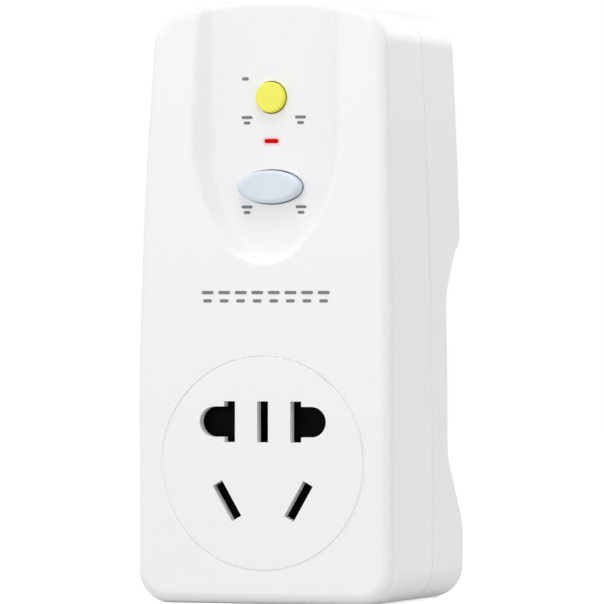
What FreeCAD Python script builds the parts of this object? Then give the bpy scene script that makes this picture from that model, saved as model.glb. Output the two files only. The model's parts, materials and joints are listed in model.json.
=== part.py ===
import FreeCAD, Part
import math
import os
from types import SimpleNamespace
import Sketcher
from FreeCAD import Placement, Rotation, Vector

# Plug-in residual-current adaptor: a tall housing with pins at the rear, a five-hole outlet low on the
# front, and a sunken panel above it with a test button, an indicator and a reset button.
# Frame: origin at the centre of the flat base, +Z up, front towards -Y, +X to the right seen from the front.

SIZES = {
    # Housing outline
    "body_width": 49.0,
    "body_depth": 42.0,
    "shoulder_height": 106.3,
    "wall": 2.0,
    "parting_depth": 23.0,
    "base_corner": 6.0,
    "top_corner": 7.0,
    "crown_radius": 80.0,
    "taper_start": 25.0,
    "taper_radius": 1426.0,
    "lean_start": 30.0,
    "lean_radius": 960.0,
    "front_edge": 2.2,
    "rear_edge": 1.5,
    "seam_chamfer": 0.25,
    "lip_height": 1.2,
    "play": 0.3,
    "slip": 0.1,
    # Finger grips in the rear edges
    "grip_bottom": 20.5,
    "grip_top": 61.5,
    "grip_ramp": 7.0,
    "grip_depth": 5.0,
    "grip_reach": 9.0,
    "grip_corner": 4.0,
    "grip_edge": 6.0,
    # Sunken panel
    "panel_depth": 4.7,
    "panel_half_width": 15.5,
    "panel_drop": 25.5,
    "panel_tip_radius": 9.6,
    "panel_centre": 86.5,
    "panel_flare": 0.9,
    "panel_slope": 4.3,
    "panel_edge": 1.6,
    # Outlet
    "ring_centre": 25.3,
    "ring_radius": 19.35,
    "ring_round": 0.3,
    "ring_depth": 0.25,
    "outlet_centre": 22.6,
    "earth_rise": 10.3,
    "blade_side": 6.85,
    "blade_drop": 3.96,
    "blade_tilt": 30.0,
    "flat_side": 6.35,
    "slot_half_width": 1.05,
    "slot_half_length": 3.7,
    "lobe_centre": 9.35,
    "lobe_radius": 2.75,
    # Socket block behind the front wall
    "block_gap": 0.2,
    "block_half_width": 15.8,
    "block_bottom": 4.2,
    "block_top": 47.0,
    "block_rear": -1.0,
    "block_floor_depth": 5.6,
    "cover_thickness": 1.4,
    "shutter_pocket": 3.0,
    "shutter_thickness": 2.2,
    "shutter_half_width": 13.2,
    "shutter_margin": 0.6,
    "shutter_bridge": 3.0,
    "shutter_rim": 0.9,
    "shutter_spring_side": 3.4,
    "shutter_spring_radius": 1.0,
    "shutter_wire": 0.15,
    # Contacts
    "strip": 0.8,
    "leaf": 0.6,
    "blade_thickness": 1.5,
    "jaw_half_length": 3.3,
    "jaw_front": -13.0,
    "contact_plane": -3.0,
    "tail_top": 58.0,
    "strip_inner": 4.6,
    "strip_outer": 9.0,
    "earth_strip_half": 2.1,
    "earth_tail_top": 53.0,
    # Plug pins
    "pin_centre": 41.0,
    "blade_half_width": 3.2,
    "line_pin_length": 18.0,
    "earth_pin_length": 21.0,
    "carrier_thickness": 4.0,
    "carrier_half_width": 13.0,
    "carrier_bottom": 30.0,
    "carrier_top": 58.0,
    "tail_length": 1.5,
    # Circuit board
    "board_front": 3.0,
    "board_thickness": 1.6,
    "board_bottom": 50.0,
    "board_top_drop": 1.3,
    "board_side_gap": 4.0,
    "board_post_gap": 1.0,
    "stand_inset": 1.5,
    "stand_low_height": 54.0,
    "stand_high_height": 92.0,
    "stand_radius": 1.8,
    # Screws and posts
    "screw_low_inset": 5.3,
    "screw_low_height": 6.2,
    "screw_high_inset": 7.2,
    "screw_high_drop": 5.7,
    "post_radius": 2.9,
    "screw_radius": 1.3,
    "screw_head_radius": 2.3,
    "screw_head_height": 1.7,
    "screw_bore_radius": 2.6,
    "screw_bore_depth": 11.0,
    "screw_reach": 12.0,
    "cross_reach": 1.4,
    "cross_half_width": 0.35,
    # Test button and reset button
    "test_height": 91.5,
    "test_radius": 2.8,
    "test_stand": 1.1,
    "test_travel": 1.0,
    "test_stem_radius": 1.2,
    "test_stem_end": -9.0,
    "reset_height": 75.3,
    "reset_half_width": 6.0,
    "reset_half_height": 3.0,
    "reset_stand": 2.5,
    "reset_dish": 0.7,
    "reset_stem_radius": 1.1,
    "reset_stem_end": -2.8,
    "test_edge": 0.4,
    "reset_edge": 0.8,
    "reset_roof": 1.6,
    "reset_spring_radius": 2.0,
    "reset_wire": 0.3,
    "lens_rim": 0.8,
    "lamp_length": 3.6,
    "lamp_radius": 1.5,
    "lead_pitch": 1.27,
    "lead_spread_side": 7.0,
    "lead_wire": 0.3,
    "lamp_lead_bend": 0.45,
    "catch_tab": 1.6,
    "catch_spring_radius": 0.9,
    "test_leaf": 0.3,
    "test_leaf_side": 11.0,
    "capacitor_half": 6.5,
    "capacitor_bottom": 88.0,
    "capacitor_depth": 6.0,
    "capacitor_height": 10.0,
    "varistor_side": -12.0,
    "varistor_height": 74.0,
    "varistor_depth": 4.0,
    "varistor_radius": 4.5,
    "resistor_side": 13.0,
    "resistor_bottom": 84.0,
    "resistor_length": 6.0,
    "resistor_radius": 1.2,
    "chip_side": 14.5,
    "chip_half": 2.0,
    "chip_bottom": 86.0,
    "chip_depth": 1.5,
    "flange": 1.2,
    "flange_rim": 1.0,
    "button_gap": 0.2,
    "guide_wall": 1.0,
    "lamp_height": 83.6,
    "lamp_half_width": 1.35,
    "lamp_half_height": 0.4,
    # Trip mechanism, with its drops and rises counted from the reset button's axis
    "frame_half_width": 15.0,
    "frame_wall": 1.8,
    "frame_drop": 7.3,
    "frame_rise": 6.7,
    "frame_base": 1.4,
    "frame_front": -9.4,
    "frame_bridge": 1.6,
    "bracket_drop": 13.3,
    "slider_front": -4.0,
    "slider_thickness": 2.0,
    "slider_drop": 4.9,
    "slider_rise": 4.3,
    "trip_travel": 1.6,
    "catch_half_width": 5.0,
    "catch_thickness": 2.0,
    "catch_drop": 5.9,
    "catch_rise": 8.1,
    "catch_slope_rise": 1.7,
    "catch_window_half": 2.6,
    "foot_rise": 3.9,
    "pole_side": 10.2,
    "pole_half_width": 2.1,
    "pad_radius": 1.4,
    "line_pad_rise": 2.7,
    "load_pad_drop": 3.3,
    "load_step_drop": 14.1,
    # Trip solenoid
    "coil_depth": -2.4,
    "coil_gap": 1.2,
    "coil_length": 16.0,
    "coil_radius": 4.5,
    "coil_core_radius": 1.9,
    "plunger_radius": 1.2,
    "yoke_thickness": 0.8,
    # Current transformer and leads
    "ring_core_depth": 11.7,
    "ring_core_bottom": 58.0,
    "ring_core_length": 8.0,
    "ring_core_radius": 7.0,
    "ring_core_bore": 3.2,
    "lead_radius": 0.9,
    "lead_bend": 2.0,
    "lead_spread": 1.4,
}


SHUTTER_SPRING_TURNS = 8
RESET_SPRING_TURNS = 5
CATCH_SPRING_TURNS = 5
OPENING_SPRING_TURNS = 3
SMALLEST_CUT = 1e-6


class Size:
    """A size with its value in millimetres and its formula in the words of the sheet."""

    def __init__(self, value, formula):
        self.value = value
        self.formula = formula

    def __add__(self, other):
        return combine(self, "+", other)

    def __radd__(self, other):
        return combine(other, "+", self)

    def __sub__(self, other):
        return combine(self, "-", other)

    def __rsub__(self, other):
        return combine(other, "-", self)

    def __mul__(self, other):
        return combine(self, "*", other)

    def __rmul__(self, other):
        return combine(other, "*", self)

    def __truediv__(self, other):
        return combine(self, "/", other)

    def __rtruediv__(self, other):
        return combine(other, "/", self)

    def __neg__(self):
        return combine(0, "-", self)


def number(item):
    return item.value if isinstance(item, Size) else float(item)


def formula(item):
    return item.formula if isinstance(item, Size) else repr(float(item))


def combine(left, sign, right):
    a = number(left)
    b = number(right)
    results = {"+": a + b, "-": a - b, "*": a * b, "/": a / b if b else math.nan}
    return Size(results[sign], f"({formula(left)} {sign} {formula(right)})")


def root(item):
    return Size(math.sqrt(number(item)), f"sqrt({formula(item)})")


def sine(degrees):
    return Size(math.sin(math.radians(number(degrees))), f"sin({formula(degrees)} * 1 deg)")


def cosine(degrees):
    return Size(math.cos(math.radians(number(degrees))), f"cos({formula(degrees)} * 1 deg)")


doc = FreeCAD.newDocument("adaptor")
sheet = doc.addObject("Spreadsheet::Sheet", "sizes")
for row, (alias, value) in enumerate(SIZES.items(), start=1):
    sheet.set(f"A{row}", alias)
    sheet.set(f"B{row}", str(value))
    sheet.setAlias(f"B{row}", alias)
doc.recompute()
d = SimpleNamespace(**{alias: Size(value, "sizes." + alias) for alias, value in SIZES.items()})


def bind(target, prop, item):
    target.setExpression(prop, formula(item))


def new_body(label):
    body = doc.addObject("PartDesign::Body", label)
    body.Label = label
    return body


def origin_plane(body, role):
    return next(item for item in body.Origin.OriginFeatures if item.Role == role)


def new_sketch(body, name, role, offset=0):
    """A sketch on an origin plane of its own body, moved along the plane's normal by the offset."""
    sketch = body.newObject("Sketcher::SketchObject", name)
    sketch.AttachmentSupport = [(origin_plane(body, role), "")]
    sketch.MapMode = "FlatFace"
    bind(sketch, "AttachmentOffset.Base.z", offset)
    return sketch


def pin_point(sketch, geometry, end, x, y):
    """Fixes one point of a sketch by its two distances from the sketch's origin."""
    for kind, item in (("DistanceX", x), ("DistanceY", y)):
        index = sketch.addConstraint(Sketcher.Constraint(kind, -1, 1, geometry, end, number(item)))
        sketch.setExpression(f"Constraints[{index}]", formula(item))


def bulge_centre(start, end, radius, side):
    """The centre of an arc of a given radius from start to end; side +1 bulges to the right."""
    chord = end - start
    height = math.sqrt(radius ** 2 - chord.Length ** 2 / 4)
    left = Vector(-chord.y, chord.x, 0).normalize()
    return (start + end) / 2 + left * height * side


def draw_loop(sketch, corners):
    """A closed loop. A corner is (x, y) or (x, y, radius, side), which starts an arc to the next corner."""
    count = len(corners)
    points = [Vector(number(corner[0]), number(corner[1]), 0) for corner in corners]
    edges = []
    for index, corner in enumerate(corners):
        start = points[index]
        end = points[(index + 1) % count]
        if len(corner) == 2:
            edges.append((sketch.addGeometry(Part.LineSegment(start, end), False), 1, 2))
            continue
        radius = number(corner[2])
        side = corner[3]
        centre = bulge_centre(start, end, radius, side)
        first = math.atan2(start.y - centre.y, start.x - centre.x)
        last = math.atan2(end.y - centre.y, end.x - centre.x)
        circle = Part.Circle(centre, Vector(0, 0, 1), radius)
        if side > 0:
            edge = sketch.addGeometry(Part.ArcOfCircle(circle, first, last), False)
            edges.append((edge, 1, 2))
        else:
            edge = sketch.addGeometry(Part.ArcOfCircle(circle, last, first), False)
            edges.append((edge, 2, 1))
    for index, (edge, start, end) in enumerate(edges):
        following = edges[(index + 1) % count]
        sketch.addConstraint(Sketcher.Constraint("Coincident", edge, end, following[0], following[1]))
        pin_point(sketch, edge, start, corners[index][0], corners[index][1])
        if len(corners[index]) > 2:
            radius = corners[index][2]
            item = sketch.addConstraint(Sketcher.Constraint("Radius", edge, number(radius)))
            sketch.setExpression(f"Constraints[{item}]", formula(radius))


def add_pad(body, name, sketch, length, reverse=False):
    pad = body.newObject("PartDesign::Pad", name)
    pad.Profile = sketch
    bind(pad, "Length", length)
    pad.Reversed = reverse
    return pad


def add_pocket(body, name, sketch, length, reverse=False):
    """A pocket that has to take something away, so its direction is known to be right."""
    doc.recompute()
    before = body.Shape.Volume
    pocket = body.newObject("PartDesign::Pocket", name)
    pocket.Profile = sketch
    bind(pocket, "Length", length)
    pocket.Reversed = reverse
    doc.recompute()
    if not body.Shape.Volume < before - SMALLEST_CUT:
        raise RuntimeError(name + " cuts nothing")
    return pocket


def edges_where(feature, wanted):
    """Names of the edges of a feature for which wanted(edge) holds."""
    return [f"Edge{index}" for index, edge in enumerate(feature.Shape.Edges, start=1) if wanted(edge)]


def add_fillet(body, name, base, wanted, radius):
    doc.recompute()
    fillet = body.newObject("PartDesign::Fillet", name)
    fillet.Base = (base, edges_where(base, wanted))
    bind(fillet, "Radius", radius)
    doc.recompute()
    return fillet


# Housing form: the outer skin, and the cavity at one wall's inset


def side_line(inset, height):
    """Half width of the housing at a height: straight low down, then an arc that leans inwards."""
    rise = height - d.taper_start
    sagging = d.taper_radius - root(d.taper_radius * d.taper_radius - rise * rise)
    return d.body_width / 2 - inset - sagging


def front_plane(inset, height):
    """Y of the front at a height: upright low down, then an arc that leans back."""
    rise = height - d.lean_start
    sagging = d.lean_radius - root(d.lean_radius * d.lean_radius - rise * rise)
    return sagging + inset - d.body_depth / 2


def near(value, item, tolerance=0.01):
    return abs(value - number(item)) < tolerance


def housing_form(label, inset):
    body = new_body(label)
    front = inset - d.body_depth / 2
    rear = d.body_depth / 2 - inset
    low_half = d.body_width / 2 - inset
    shoulder = d.shoulder_height - inset
    high_half = side_line(inset, shoulder)
    outline = new_sketch(body, label + "_outline", "XZ_Plane", -rear)
    draw_loop(outline, [
        (-low_half, inset),
        (low_half, inset),
        (low_half, d.taper_start, d.taper_radius - inset, 1),
        (high_half, shoulder, d.crown_radius - inset, 1),
        (-high_half, shoulder, d.taper_radius - inset, 1),
        (-low_half, d.taper_start),
    ])
    block = add_pad(body, label + "_block", outline, d.body_depth - inset * 2)
    corners = add_fillet(
        body, label + "_base_corners", block,
        lambda e: near(e.BoundBox.ZMax, inset) and near(e.BoundBox.XLength, 0),
        d.base_corner - inset)
    corners = add_fillet(
        body, label + "_top_corners", corners,
        lambda e: near(e.BoundBox.ZMin, shoulder) and near(e.BoundBox.XLength, 0),
        d.top_corner - inset)
    lean = new_sketch(body, label + "_lean", "YZ_Plane", -d.body_width)
    half = d.body_width / 2
    crown_rise = d.crown_radius - root(d.crown_radius * d.crown_radius - half * half)
    beyond = d.shoulder_height + crown_rise + d.wall
    draw_loop(lean, [
        (front, d.lean_start, d.lean_radius - inset, -1),
        (front_plane(inset, beyond), beyond),
        (front - d.wall, beyond),
        (front - d.wall, d.lean_start),
    ])
    add_pocket(body, label + "_leaning_front", lean, d.body_width * 2, reverse=True)
    return body


def cut_grips(body, inset):
    """The finger grips: a ramped step out of both rear edges, deeper by one wall in the cavity."""
    rear = d.body_depth / 2
    floor = rear - d.grip_depth - inset
    overshoot = d.grip_ramp * d.wall / d.grip_depth
    profile = new_sketch(body, body.Label + "_grip", "YZ_Plane", d.body_width / 2 - d.grip_reach - inset)
    draw_loop(profile, [
        (floor, d.grip_bottom + d.grip_ramp - inset),
        (rear + d.wall, d.grip_bottom - inset - overshoot),
        (rear + d.wall, d.grip_top + inset + overshoot),
        (floor, d.grip_top - d.grip_ramp + inset),
    ])
    pocket = add_pocket(body, body.Label + "_right_grip", profile, d.body_width, reverse=True)
    mirror = body.newObject("PartDesign::Mirrored", body.Label + "_left_grip")
    mirror.Originals = [pocket]
    mirror.MirrorPlane = (origin_plane(body, "YZ_Plane"), [""])
    body.Tip = mirror
    doc.recompute()
    return mirror


# Plain building blocks, bound to the sheet


def block(label, low, high):
    box = doc.addObject("Part::Box", label)
    for side, axis, first, last in zip(("Length", "Width", "Height"), "xyz", low, high):
        bind(box, side, last - first)
        bind(box, f"Placement.Base.{axis}", first)
    return box


TURNS = {
    "x": Rotation(Vector(0, 1, 0), 90),
    "y": Rotation(Vector(1, 0, 0), -90),
    "z": Rotation(),
}


def rod(label, axis, base, length, radius):
    """A cylinder from its base point along +X, +Y or +Z."""
    cylinder = doc.addObject("Part::Cylinder", label)
    cylinder.Placement = Placement(Vector(), TURNS[axis])
    bind(cylinder, "Radius", radius)
    bind(cylinder, "Height", length)
    for direction, item in zip("xyz", base):
        bind(cylinder, f"Placement.Base.{direction}", item)
    return cylinder


def prism(label, plane, corners, first, last):
    """A body padded between two places along the normal of XY, YZ or XZ."""
    body = new_body(label)
    backwards = plane == "XZ"
    sketch = new_sketch(body, label + "_profile", plane + "_Plane", -first if backwards else first)
    draw_loop(sketch, corners)
    add_pad(body, label + "_pad", sketch, last - first, reverse=backwards)
    return body


def fused(label, *items):
    fusion = doc.addObject("Part::MultiFuse", label)
    fusion.Shapes = list(items)
    return fusion


def cut_away(label, base, *tools):
    result = doc.addObject("Part::Cut", label)
    result.Base = base
    result.Tool = tools[0] if len(tools) == 1 else fused(label + "_tools", *tools)
    return result


def common(label, first, second):
    result = doc.addObject("Part::Common", label)
    result.Base = first
    result.Tool = second
    return result


def mirrored(label, item):
    """The same shape on the other side of the plane between left and right."""
    copy = doc.addObject("Part::Mirroring", label)
    copy.Source = item
    copy.Normal = Vector(1, 0, 0)
    return copy


def group(label, *items):
    """Separate solids that share one node."""
    compound = doc.addObject("Part::Compound", label)
    compound.Links = list(items)
    return compound


def tilted_rectangle(x, y, half_width, half_length, tilt):
    """A rectangle whose long sides lean out to the right by the tilt."""
    along = (sine(tilt) * half_length, cosine(tilt) * half_length)
    across = (cosine(tilt) * half_width, -sine(tilt) * half_width)
    return [
        (x - along[0] - across[0], y - along[1] - across[1]),
        (x - along[0] + across[0], y - along[1] + across[1]),
        (x + along[0] + across[0], y + along[1] + across[1]),
        (x + along[0] - across[0], y + along[1] - across[1]),
    ]


def coil_spring(label, axis, base, length, radius, wire, turns):
    """An open helical spring of round wire between two seats, with half a wire's room at each end."""
    helix = doc.addObject("Part::Helix", label + "_line")
    bind(helix, "Radius", radius - wire)
    bind(helix, "Pitch", (length - wire * 2) / turns)
    bind(helix, "Height", length - wire * 2)
    section = doc.addObject("Part::Circle", label + "_section")
    bind(section, "Radius", wire)
    section.Placement = Placement(Vector(), Rotation(Vector(1, 0, 0), 90))
    bind(section, "Placement.Base.x", radius - wire)
    sweep = doc.addObject("Part::Sweep", label)
    sweep.Sections = [section]
    sweep.Spine = (helix, [])
    sweep.Solid = True
    sweep.Frenet = True
    sweep.Placement = Placement(Vector(), TURNS[axis])
    offsets = [wire if direction == axis else 0 for direction in "xyz"]
    for direction, item, offset in zip("xyz", base, offsets):
        bind(sweep, f"Placement.Base.{direction}", item + offset)
    return sweep


PARTS = {}


def keep(name, item):
    item.Label = name
    PARTS[name] = item
    return item


# Main planes that the pieces share

front = -d.body_depth / 2
rear = d.body_depth / 2
seam = front + d.parting_depth
inside_front = front + d.wall
inside_rear = rear - d.wall
far = d.shoulder_height + d.crown_radius
panel_floor = front + d.panel_depth
panel_back = panel_floor + d.wall
board_rear = d.board_front + d.board_thickness
slot_height = d.outlet_centre + d.earth_rise
blade_height = d.outlet_centre - d.blade_drop
frame_bottom = d.reset_height - d.frame_drop
frame_top = d.reset_height + d.frame_rise
spring_bracket = d.reset_height - d.bracket_drop
slider_bottom = d.reset_height - d.slider_drop
slider_top = d.reset_height + d.slider_rise
catch_bottom = d.reset_height - d.catch_drop
catch_top = d.reset_height + d.catch_rise
catch_slope_height = d.reset_height + d.catch_slope_rise
foot_top = d.reset_height + d.foot_rise
line_pad_height = d.reset_height + d.line_pad_rise
load_pad_height = d.reset_height - d.load_pad_drop
load_step = d.reset_height - d.load_step_drop
coil_bottom = catch_top + d.coil_gap

# Housing skins


def skin(label, inset):
    body = housing_form(label, inset)
    grips = cut_grips(body, inset)
    floor = rear - d.grip_depth - inset
    low = d.grip_bottom - inset
    high = d.grip_top + inset
    corners = add_fillet(
        body, label + "_grip_corners", grips,
        lambda e: near(e.BoundBox.YMin, floor) and near(e.BoundBox.YMax, floor)
        and near(e.BoundBox.ZLength, 0) and e.BoundBox.XLength > number(d.grip_depth),
        d.grip_corner)
    half = number(d.body_width / 2 - inset - d.rear_edge)

    def outer_grip_edge(e):
        box = e.BoundBox
        return (box.YMin > number(floor - d.slip) and box.YMax < number(rear - inset + d.slip)
                and box.ZMin > number(low - d.play) and box.ZMax < number(high + d.play)
                and box.XLength < number(d.wall / 2) and abs(e.CenterOfMass.x) > half)

    rounded = add_fillet(body, label + "_grip_edges", corners, outer_grip_edge, d.grip_edge - inset)
    body.Tip = rounded
    return body


outer = skin("outer_form", 0)
rear_rounds = add_fillet(
    outer, "outer_form_rear_edges", outer.Tip,
    lambda e: near(e.BoundBox.YMin, rear) and near(e.BoundBox.YMax, rear), d.rear_edge)
outer_rounds = add_fillet(
    outer, "outer_form_front_edges", rear_rounds,
    lambda e: e.BoundBox.YMax < number(front + d.wall * 2)
    and e.BoundBox.XLength < number(d.body_width - d.base_corner),
    d.front_edge)
cavity = skin("cavity_form", d.wall)


def skin_part(label, form, first, last):
    """The stretch of a skin between two places from front to rear."""
    half = d.body_width
    slab = block(label + "_slab", (-half, first, -half), (half, last, far))
    return common(label, form, slab)


def seamed_skin(label, first, last):
    """A stretch of the outer skin with a fine bevel along the seam."""
    body = new_body(label)
    body.BaseFeature = skin_part(label + "_stretch", outer, first, last)
    doc.recompute()
    base = body.Tip
    chamfer = body.newObject("PartDesign::Chamfer", label + "_seam")
    at_seam = edges_where(base, lambda e: near(e.BoundBox.YMin, seam) and near(e.BoundBox.YMax, seam))
    chamfer.Base = (base, at_seam)
    bind(chamfer, "Size", d.seam_chamfer)
    return body


front_skin = seamed_skin("front_skin", front - d.wall, seam)
front_hollow = skin_part("front_hollow", cavity, front - d.wall, seam)
rear_skin = seamed_skin("rear_skin", seam, rear + d.wall)
rear_hollow = skin_part("rear_hollow", cavity, seam, rear + d.wall)

# A lip on the rear half that fits a rebate in the front half

rebate = skin_part("rebate", housing_form("rebate_form", d.wall / 2), seam - d.lip_height - d.play, seam)
lip_outside = skin_part("lip_outside", housing_form("lip_form", d.wall / 2 + d.slip), seam - d.lip_height, seam)
lip = cut_away("lip", lip_outside, cavity)

# Sunken panel: an arched outline with a soft tip below, open at the crown


def panel_outline(sketch, grow, top):
    """Straight flanks above three arcs that meet smoothly, all moved outwards by one distance."""
    half = d.panel_half_width + grow
    drop = d.panel_drop + grow
    tip = d.panel_tip_radius + grow
    flank = (half * half + drop * drop - drop * tip * 2) / ((half - tip) * 2)
    reach = flank - tip
    join_x = (flank - half) / reach * tip
    join_y = -(drop - tip) - (drop - tip) / reach * tip
    centre = d.panel_centre
    draw_loop(sketch, [
        (-half, centre, flank, 1),
        (-join_x, centre + join_y, tip, 1),
        (join_x, centre + join_y, flank, 1),
        (half, centre),
        (half + d.panel_flare, top),
        (-(half + d.panel_flare), top),
    ])


def panel_form(label, grow, floor):
    """A bowl with sloping walls between the front plane and a floor."""
    body = new_body(label)
    top = d.shoulder_height + d.top_corner
    wide = new_sketch(body, label + "_rim", "XZ_Plane", -front)
    panel_outline(wide, grow, top)
    narrow = new_sketch(body, label + "_floor", "XZ_Plane", -floor)
    panel_outline(narrow, grow - d.panel_slope, top)
    loft = body.newObject("PartDesign::AdditiveLoft", label + "_loft")
    loft.Profile = wide
    loft.Sections = [narrow]
    loft.Ruled = True
    return body


panel_bowl = panel_form("panel_bowl", 0, panel_floor)
panel_reach = block("panel_reach", (-d.body_width, front - d.wall, 0),
                    (d.body_width, rear, d.shoulder_height + d.top_corner - d.wall / 2))
panel_cut = new_body("panel_cut")
panel_cut.BaseFeature = common("panel_stretch", panel_bowl, panel_reach)
doc.recompute()
add_fillet(
    panel_cut, "panel_cut_foot", panel_cut.Tip,
    lambda e: near(e.BoundBox.YMin, panel_floor) and near(e.BoundBox.YMax, panel_floor)
    and e.BoundBox.ZMin < number(d.panel_centre + d.wall), d.panel_edge)
panel_backing = panel_form("panel_backing", d.wall, panel_back)

# Outlet openings, used for the front wall and for the block behind it


def outlet_tools(label, first, last):
    """Three flat slots, the outer two with a round lobe on their outer side, above two tilted ones."""
    half_width = d.slot_half_width
    half_length = d.slot_half_length
    low = slot_height - half_length
    high = slot_height + half_length
    flat = block(label + "_flat", (d.flat_side - half_width, first, low),
                 (d.flat_side + half_width, last, high))
    neck = block(label + "_neck", (d.flat_side, first, slot_height - d.lobe_radius),
                 (d.lobe_centre, last, slot_height + d.lobe_radius))
    lobe = rod(label + "_lobe", "y", (d.lobe_centre, first, slot_height), last - first, d.lobe_radius)
    slant = prism(
        label + "_slant", "XZ",
        tilted_rectangle(d.blade_side, blade_height, half_width, half_length, d.blade_tilt), first, last)
    right = fused(label + "_right", flat, neck, lobe, slant)
    centre = block(label + "_earth", (-half_width, first, low), (half_width, last, high))
    return fused(label, right, centre, mirrored(label + "_left", right))


block_front = inside_front + d.block_gap
pocket_floor = block_front + d.shutter_pocket
cavity_front = block_front + d.block_floor_depth
outlet_cut = outlet_tools("outlet_cut", front - d.wall, cavity_front + d.wall)

ring_cut = doc.addObject("Part::Torus", "ring_cut")
ring_cut.Placement = Placement(Vector(), TURNS["y"])
bind(ring_cut, "Radius1", d.ring_radius)
bind(ring_cut, "Radius2", d.ring_round)
bind(ring_cut, "Placement.Base.y", front + d.ring_depth - d.ring_round)
bind(ring_cut, "Placement.Base.z", d.ring_centre)

# Button and lamp openings in the panel, with guide sleeves behind


def ellipse_form(label, x, z, half_width, half_height, first, last):
    """An elliptic column along Y, wider than it is high."""
    body = new_body(label)
    sketch = new_sketch(body, label + "_profile", "XZ_Plane", -first)
    centre = Vector(number(x), number(z), 0)
    curve = Part.Ellipse(centre, number(half_width), number(half_height))
    edge = sketch.addGeometry(curve, False)
    sketch.exposeInternalGeometry(edge)
    pin_point(sketch, edge, 3, x, z)
    sketch.addConstraint(Sketcher.Constraint("Horizontal", edge + 1))
    for line, half in ((edge + 1, half_width), (edge + 2, half_height)):
        item = sketch.addConstraint(Sketcher.Constraint("Distance", line, 1, line, 2, number(half) * 2))
        sketch.setExpression(f"Constraints[{item}]", formula(half * 2))
    add_pad(body, label + "_pad", sketch, last - first, reverse=True)
    return body


guide_end = panel_back + d.guide_wall
test_hole = rod("test_hole", "y", (0, front, d.test_height), guide_end - front + d.wall,
                d.test_radius + d.button_gap)
test_sleeve = rod("test_sleeve", "y", (0, panel_floor + d.guide_wall, d.test_height), d.guide_wall,
                  d.test_radius + d.button_gap + d.guide_wall)
reset_hole = ellipse_form(
    "reset_hole", 0, d.reset_height, d.reset_half_width + d.button_gap, d.reset_half_height + d.button_gap,
    front, guide_end + d.wall)


def round_slot(label, z, half_width, half_height, first, last):
    """A level slot with round ends, along Y."""
    reach = half_width - half_height
    middle = block(label + "_middle", (-reach, first, z - half_height), (reach, last, z + half_height))
    ends = [rod(f"{label}_{name}", "y", (side * reach, first, z), last - first, half_height)
            for name, side in (("left", -1), ("right", 1))]
    return fused(label, middle, *ends)


lamp_hole = round_slot("lamp_hole", d.lamp_height, d.lamp_half_width, d.lamp_half_height,
                       front, guide_end + d.wall)

# Screw posts and their holes

screw_low_side = d.body_width / 2 - d.screw_low_inset
screw_high_side = d.body_width / 2 - d.screw_high_inset
screw_high_height = d.shoulder_height - d.screw_high_drop
SCREW_PLACES = [
    (-screw_low_side, d.screw_low_height),
    (screw_low_side, d.screw_low_height),
    (-screw_high_side, screw_high_height),
    (screw_high_side, screw_high_height),
]
CORNERS = ("low_left", "low_right", "high_left", "high_right")
head_seat = rear - d.screw_bore_depth
screw_tip = seam - d.screw_reach


def at_corners(label, first, last, radius):
    return [rod(f"{label}_{corner}", "y", (x, first, z), last - first, radius)
            for corner, (x, z) in zip(CORNERS, SCREW_PLACES)]


front_posts = fused("front_posts", *at_corners("front_post", inside_front, seam, d.post_radius))
front_posts_inside = common("front_posts_inside", front_posts, front_skin)
pilot_holes = fused("pilot_holes", *at_corners("pilot_hole", screw_tip - d.play, seam + d.wall,
                                               d.screw_radius + d.slip / 2))

# Front cover

panel_wall = common("panel_wall", panel_backing, front_skin)
front_shell = cut_away("front_shell", front_skin, fused("front_space", front_hollow, rebate))
front_solid = fused("front_solid", front_shell, panel_wall, test_sleeve, front_posts_inside)
front_open = cut_away("front_open", front_solid, panel_cut, outlet_cut, ring_cut, test_hole, reset_hole,
                      lamp_hole, pilot_holes)
front_cover = new_body("front_cover")
front_cover.BaseFeature = front_open
doc.recompute()


def panel_rim(e):
    box = e.BoundBox
    return (box.YMax < number(panel_floor - d.panel_edge) and box.YMin > number(front + d.slip)
            and abs(e.CenterOfMass.x) < number(d.panel_half_width)
            and box.ZMin > number(d.panel_centre - d.panel_drop - d.wall)
            and box.ZMax < number(d.shoulder_height) and box.ZLength > number(d.panel_edge))


add_fillet(front_cover, "panel_rim_edge", front_cover.Tip, panel_rim, d.panel_edge)
keep("front_cover", front_cover)

# Rear cover

boss_radius = d.screw_bore_radius + d.guide_wall
rear_posts = fused("rear_posts", *at_corners("rear_post", seam, rear - d.rear_edge, boss_radius))
rear_posts_inside = common("rear_posts_inside", rear_posts, rear_skin)
shank_holes = fused("shank_holes", *at_corners("shank_hole", seam - d.wall, rear, d.screw_radius + d.slip))
head_bores = fused("head_bores", *at_corners("head_bore", head_seat, rear + d.wall, d.screw_bore_radius))

PIN_HEIGHTS = {
    "live": d.pin_centre - d.blade_drop,
    "earth": d.pin_centre + d.earth_rise,
}


def line_blade(label, grow, first, last):
    """A tilted flat blade, or with some growth the opening that it passes through."""
    return prism(
        label, "XZ",
        tilted_rectangle(d.blade_side, PIN_HEIGHTS["live"], d.blade_thickness / 2 + grow,
                         d.blade_half_width + grow, d.blade_tilt),
        first, last)


def earth_blade(label, grow, first, last):
    return block(
        label, (-d.blade_thickness / 2 - grow, first, PIN_HEIGHTS["earth"] - d.blade_half_width - grow),
        (d.blade_thickness / 2 + grow, last, PIN_HEIGHTS["earth"] + d.blade_half_width + grow))


carrier_front = inside_rear - d.carrier_thickness
line_opening = line_blade("line_opening", d.slip / 2, carrier_front - d.wall, rear + d.wall)
pin_openings = fused("pin_openings", line_opening, mirrored("line_opening_left", line_opening),
                     earth_blade("earth_opening", d.slip / 2, carrier_front - d.wall, rear + d.wall))

# Stands for the board, ended inside the wall wherever it lies

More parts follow.
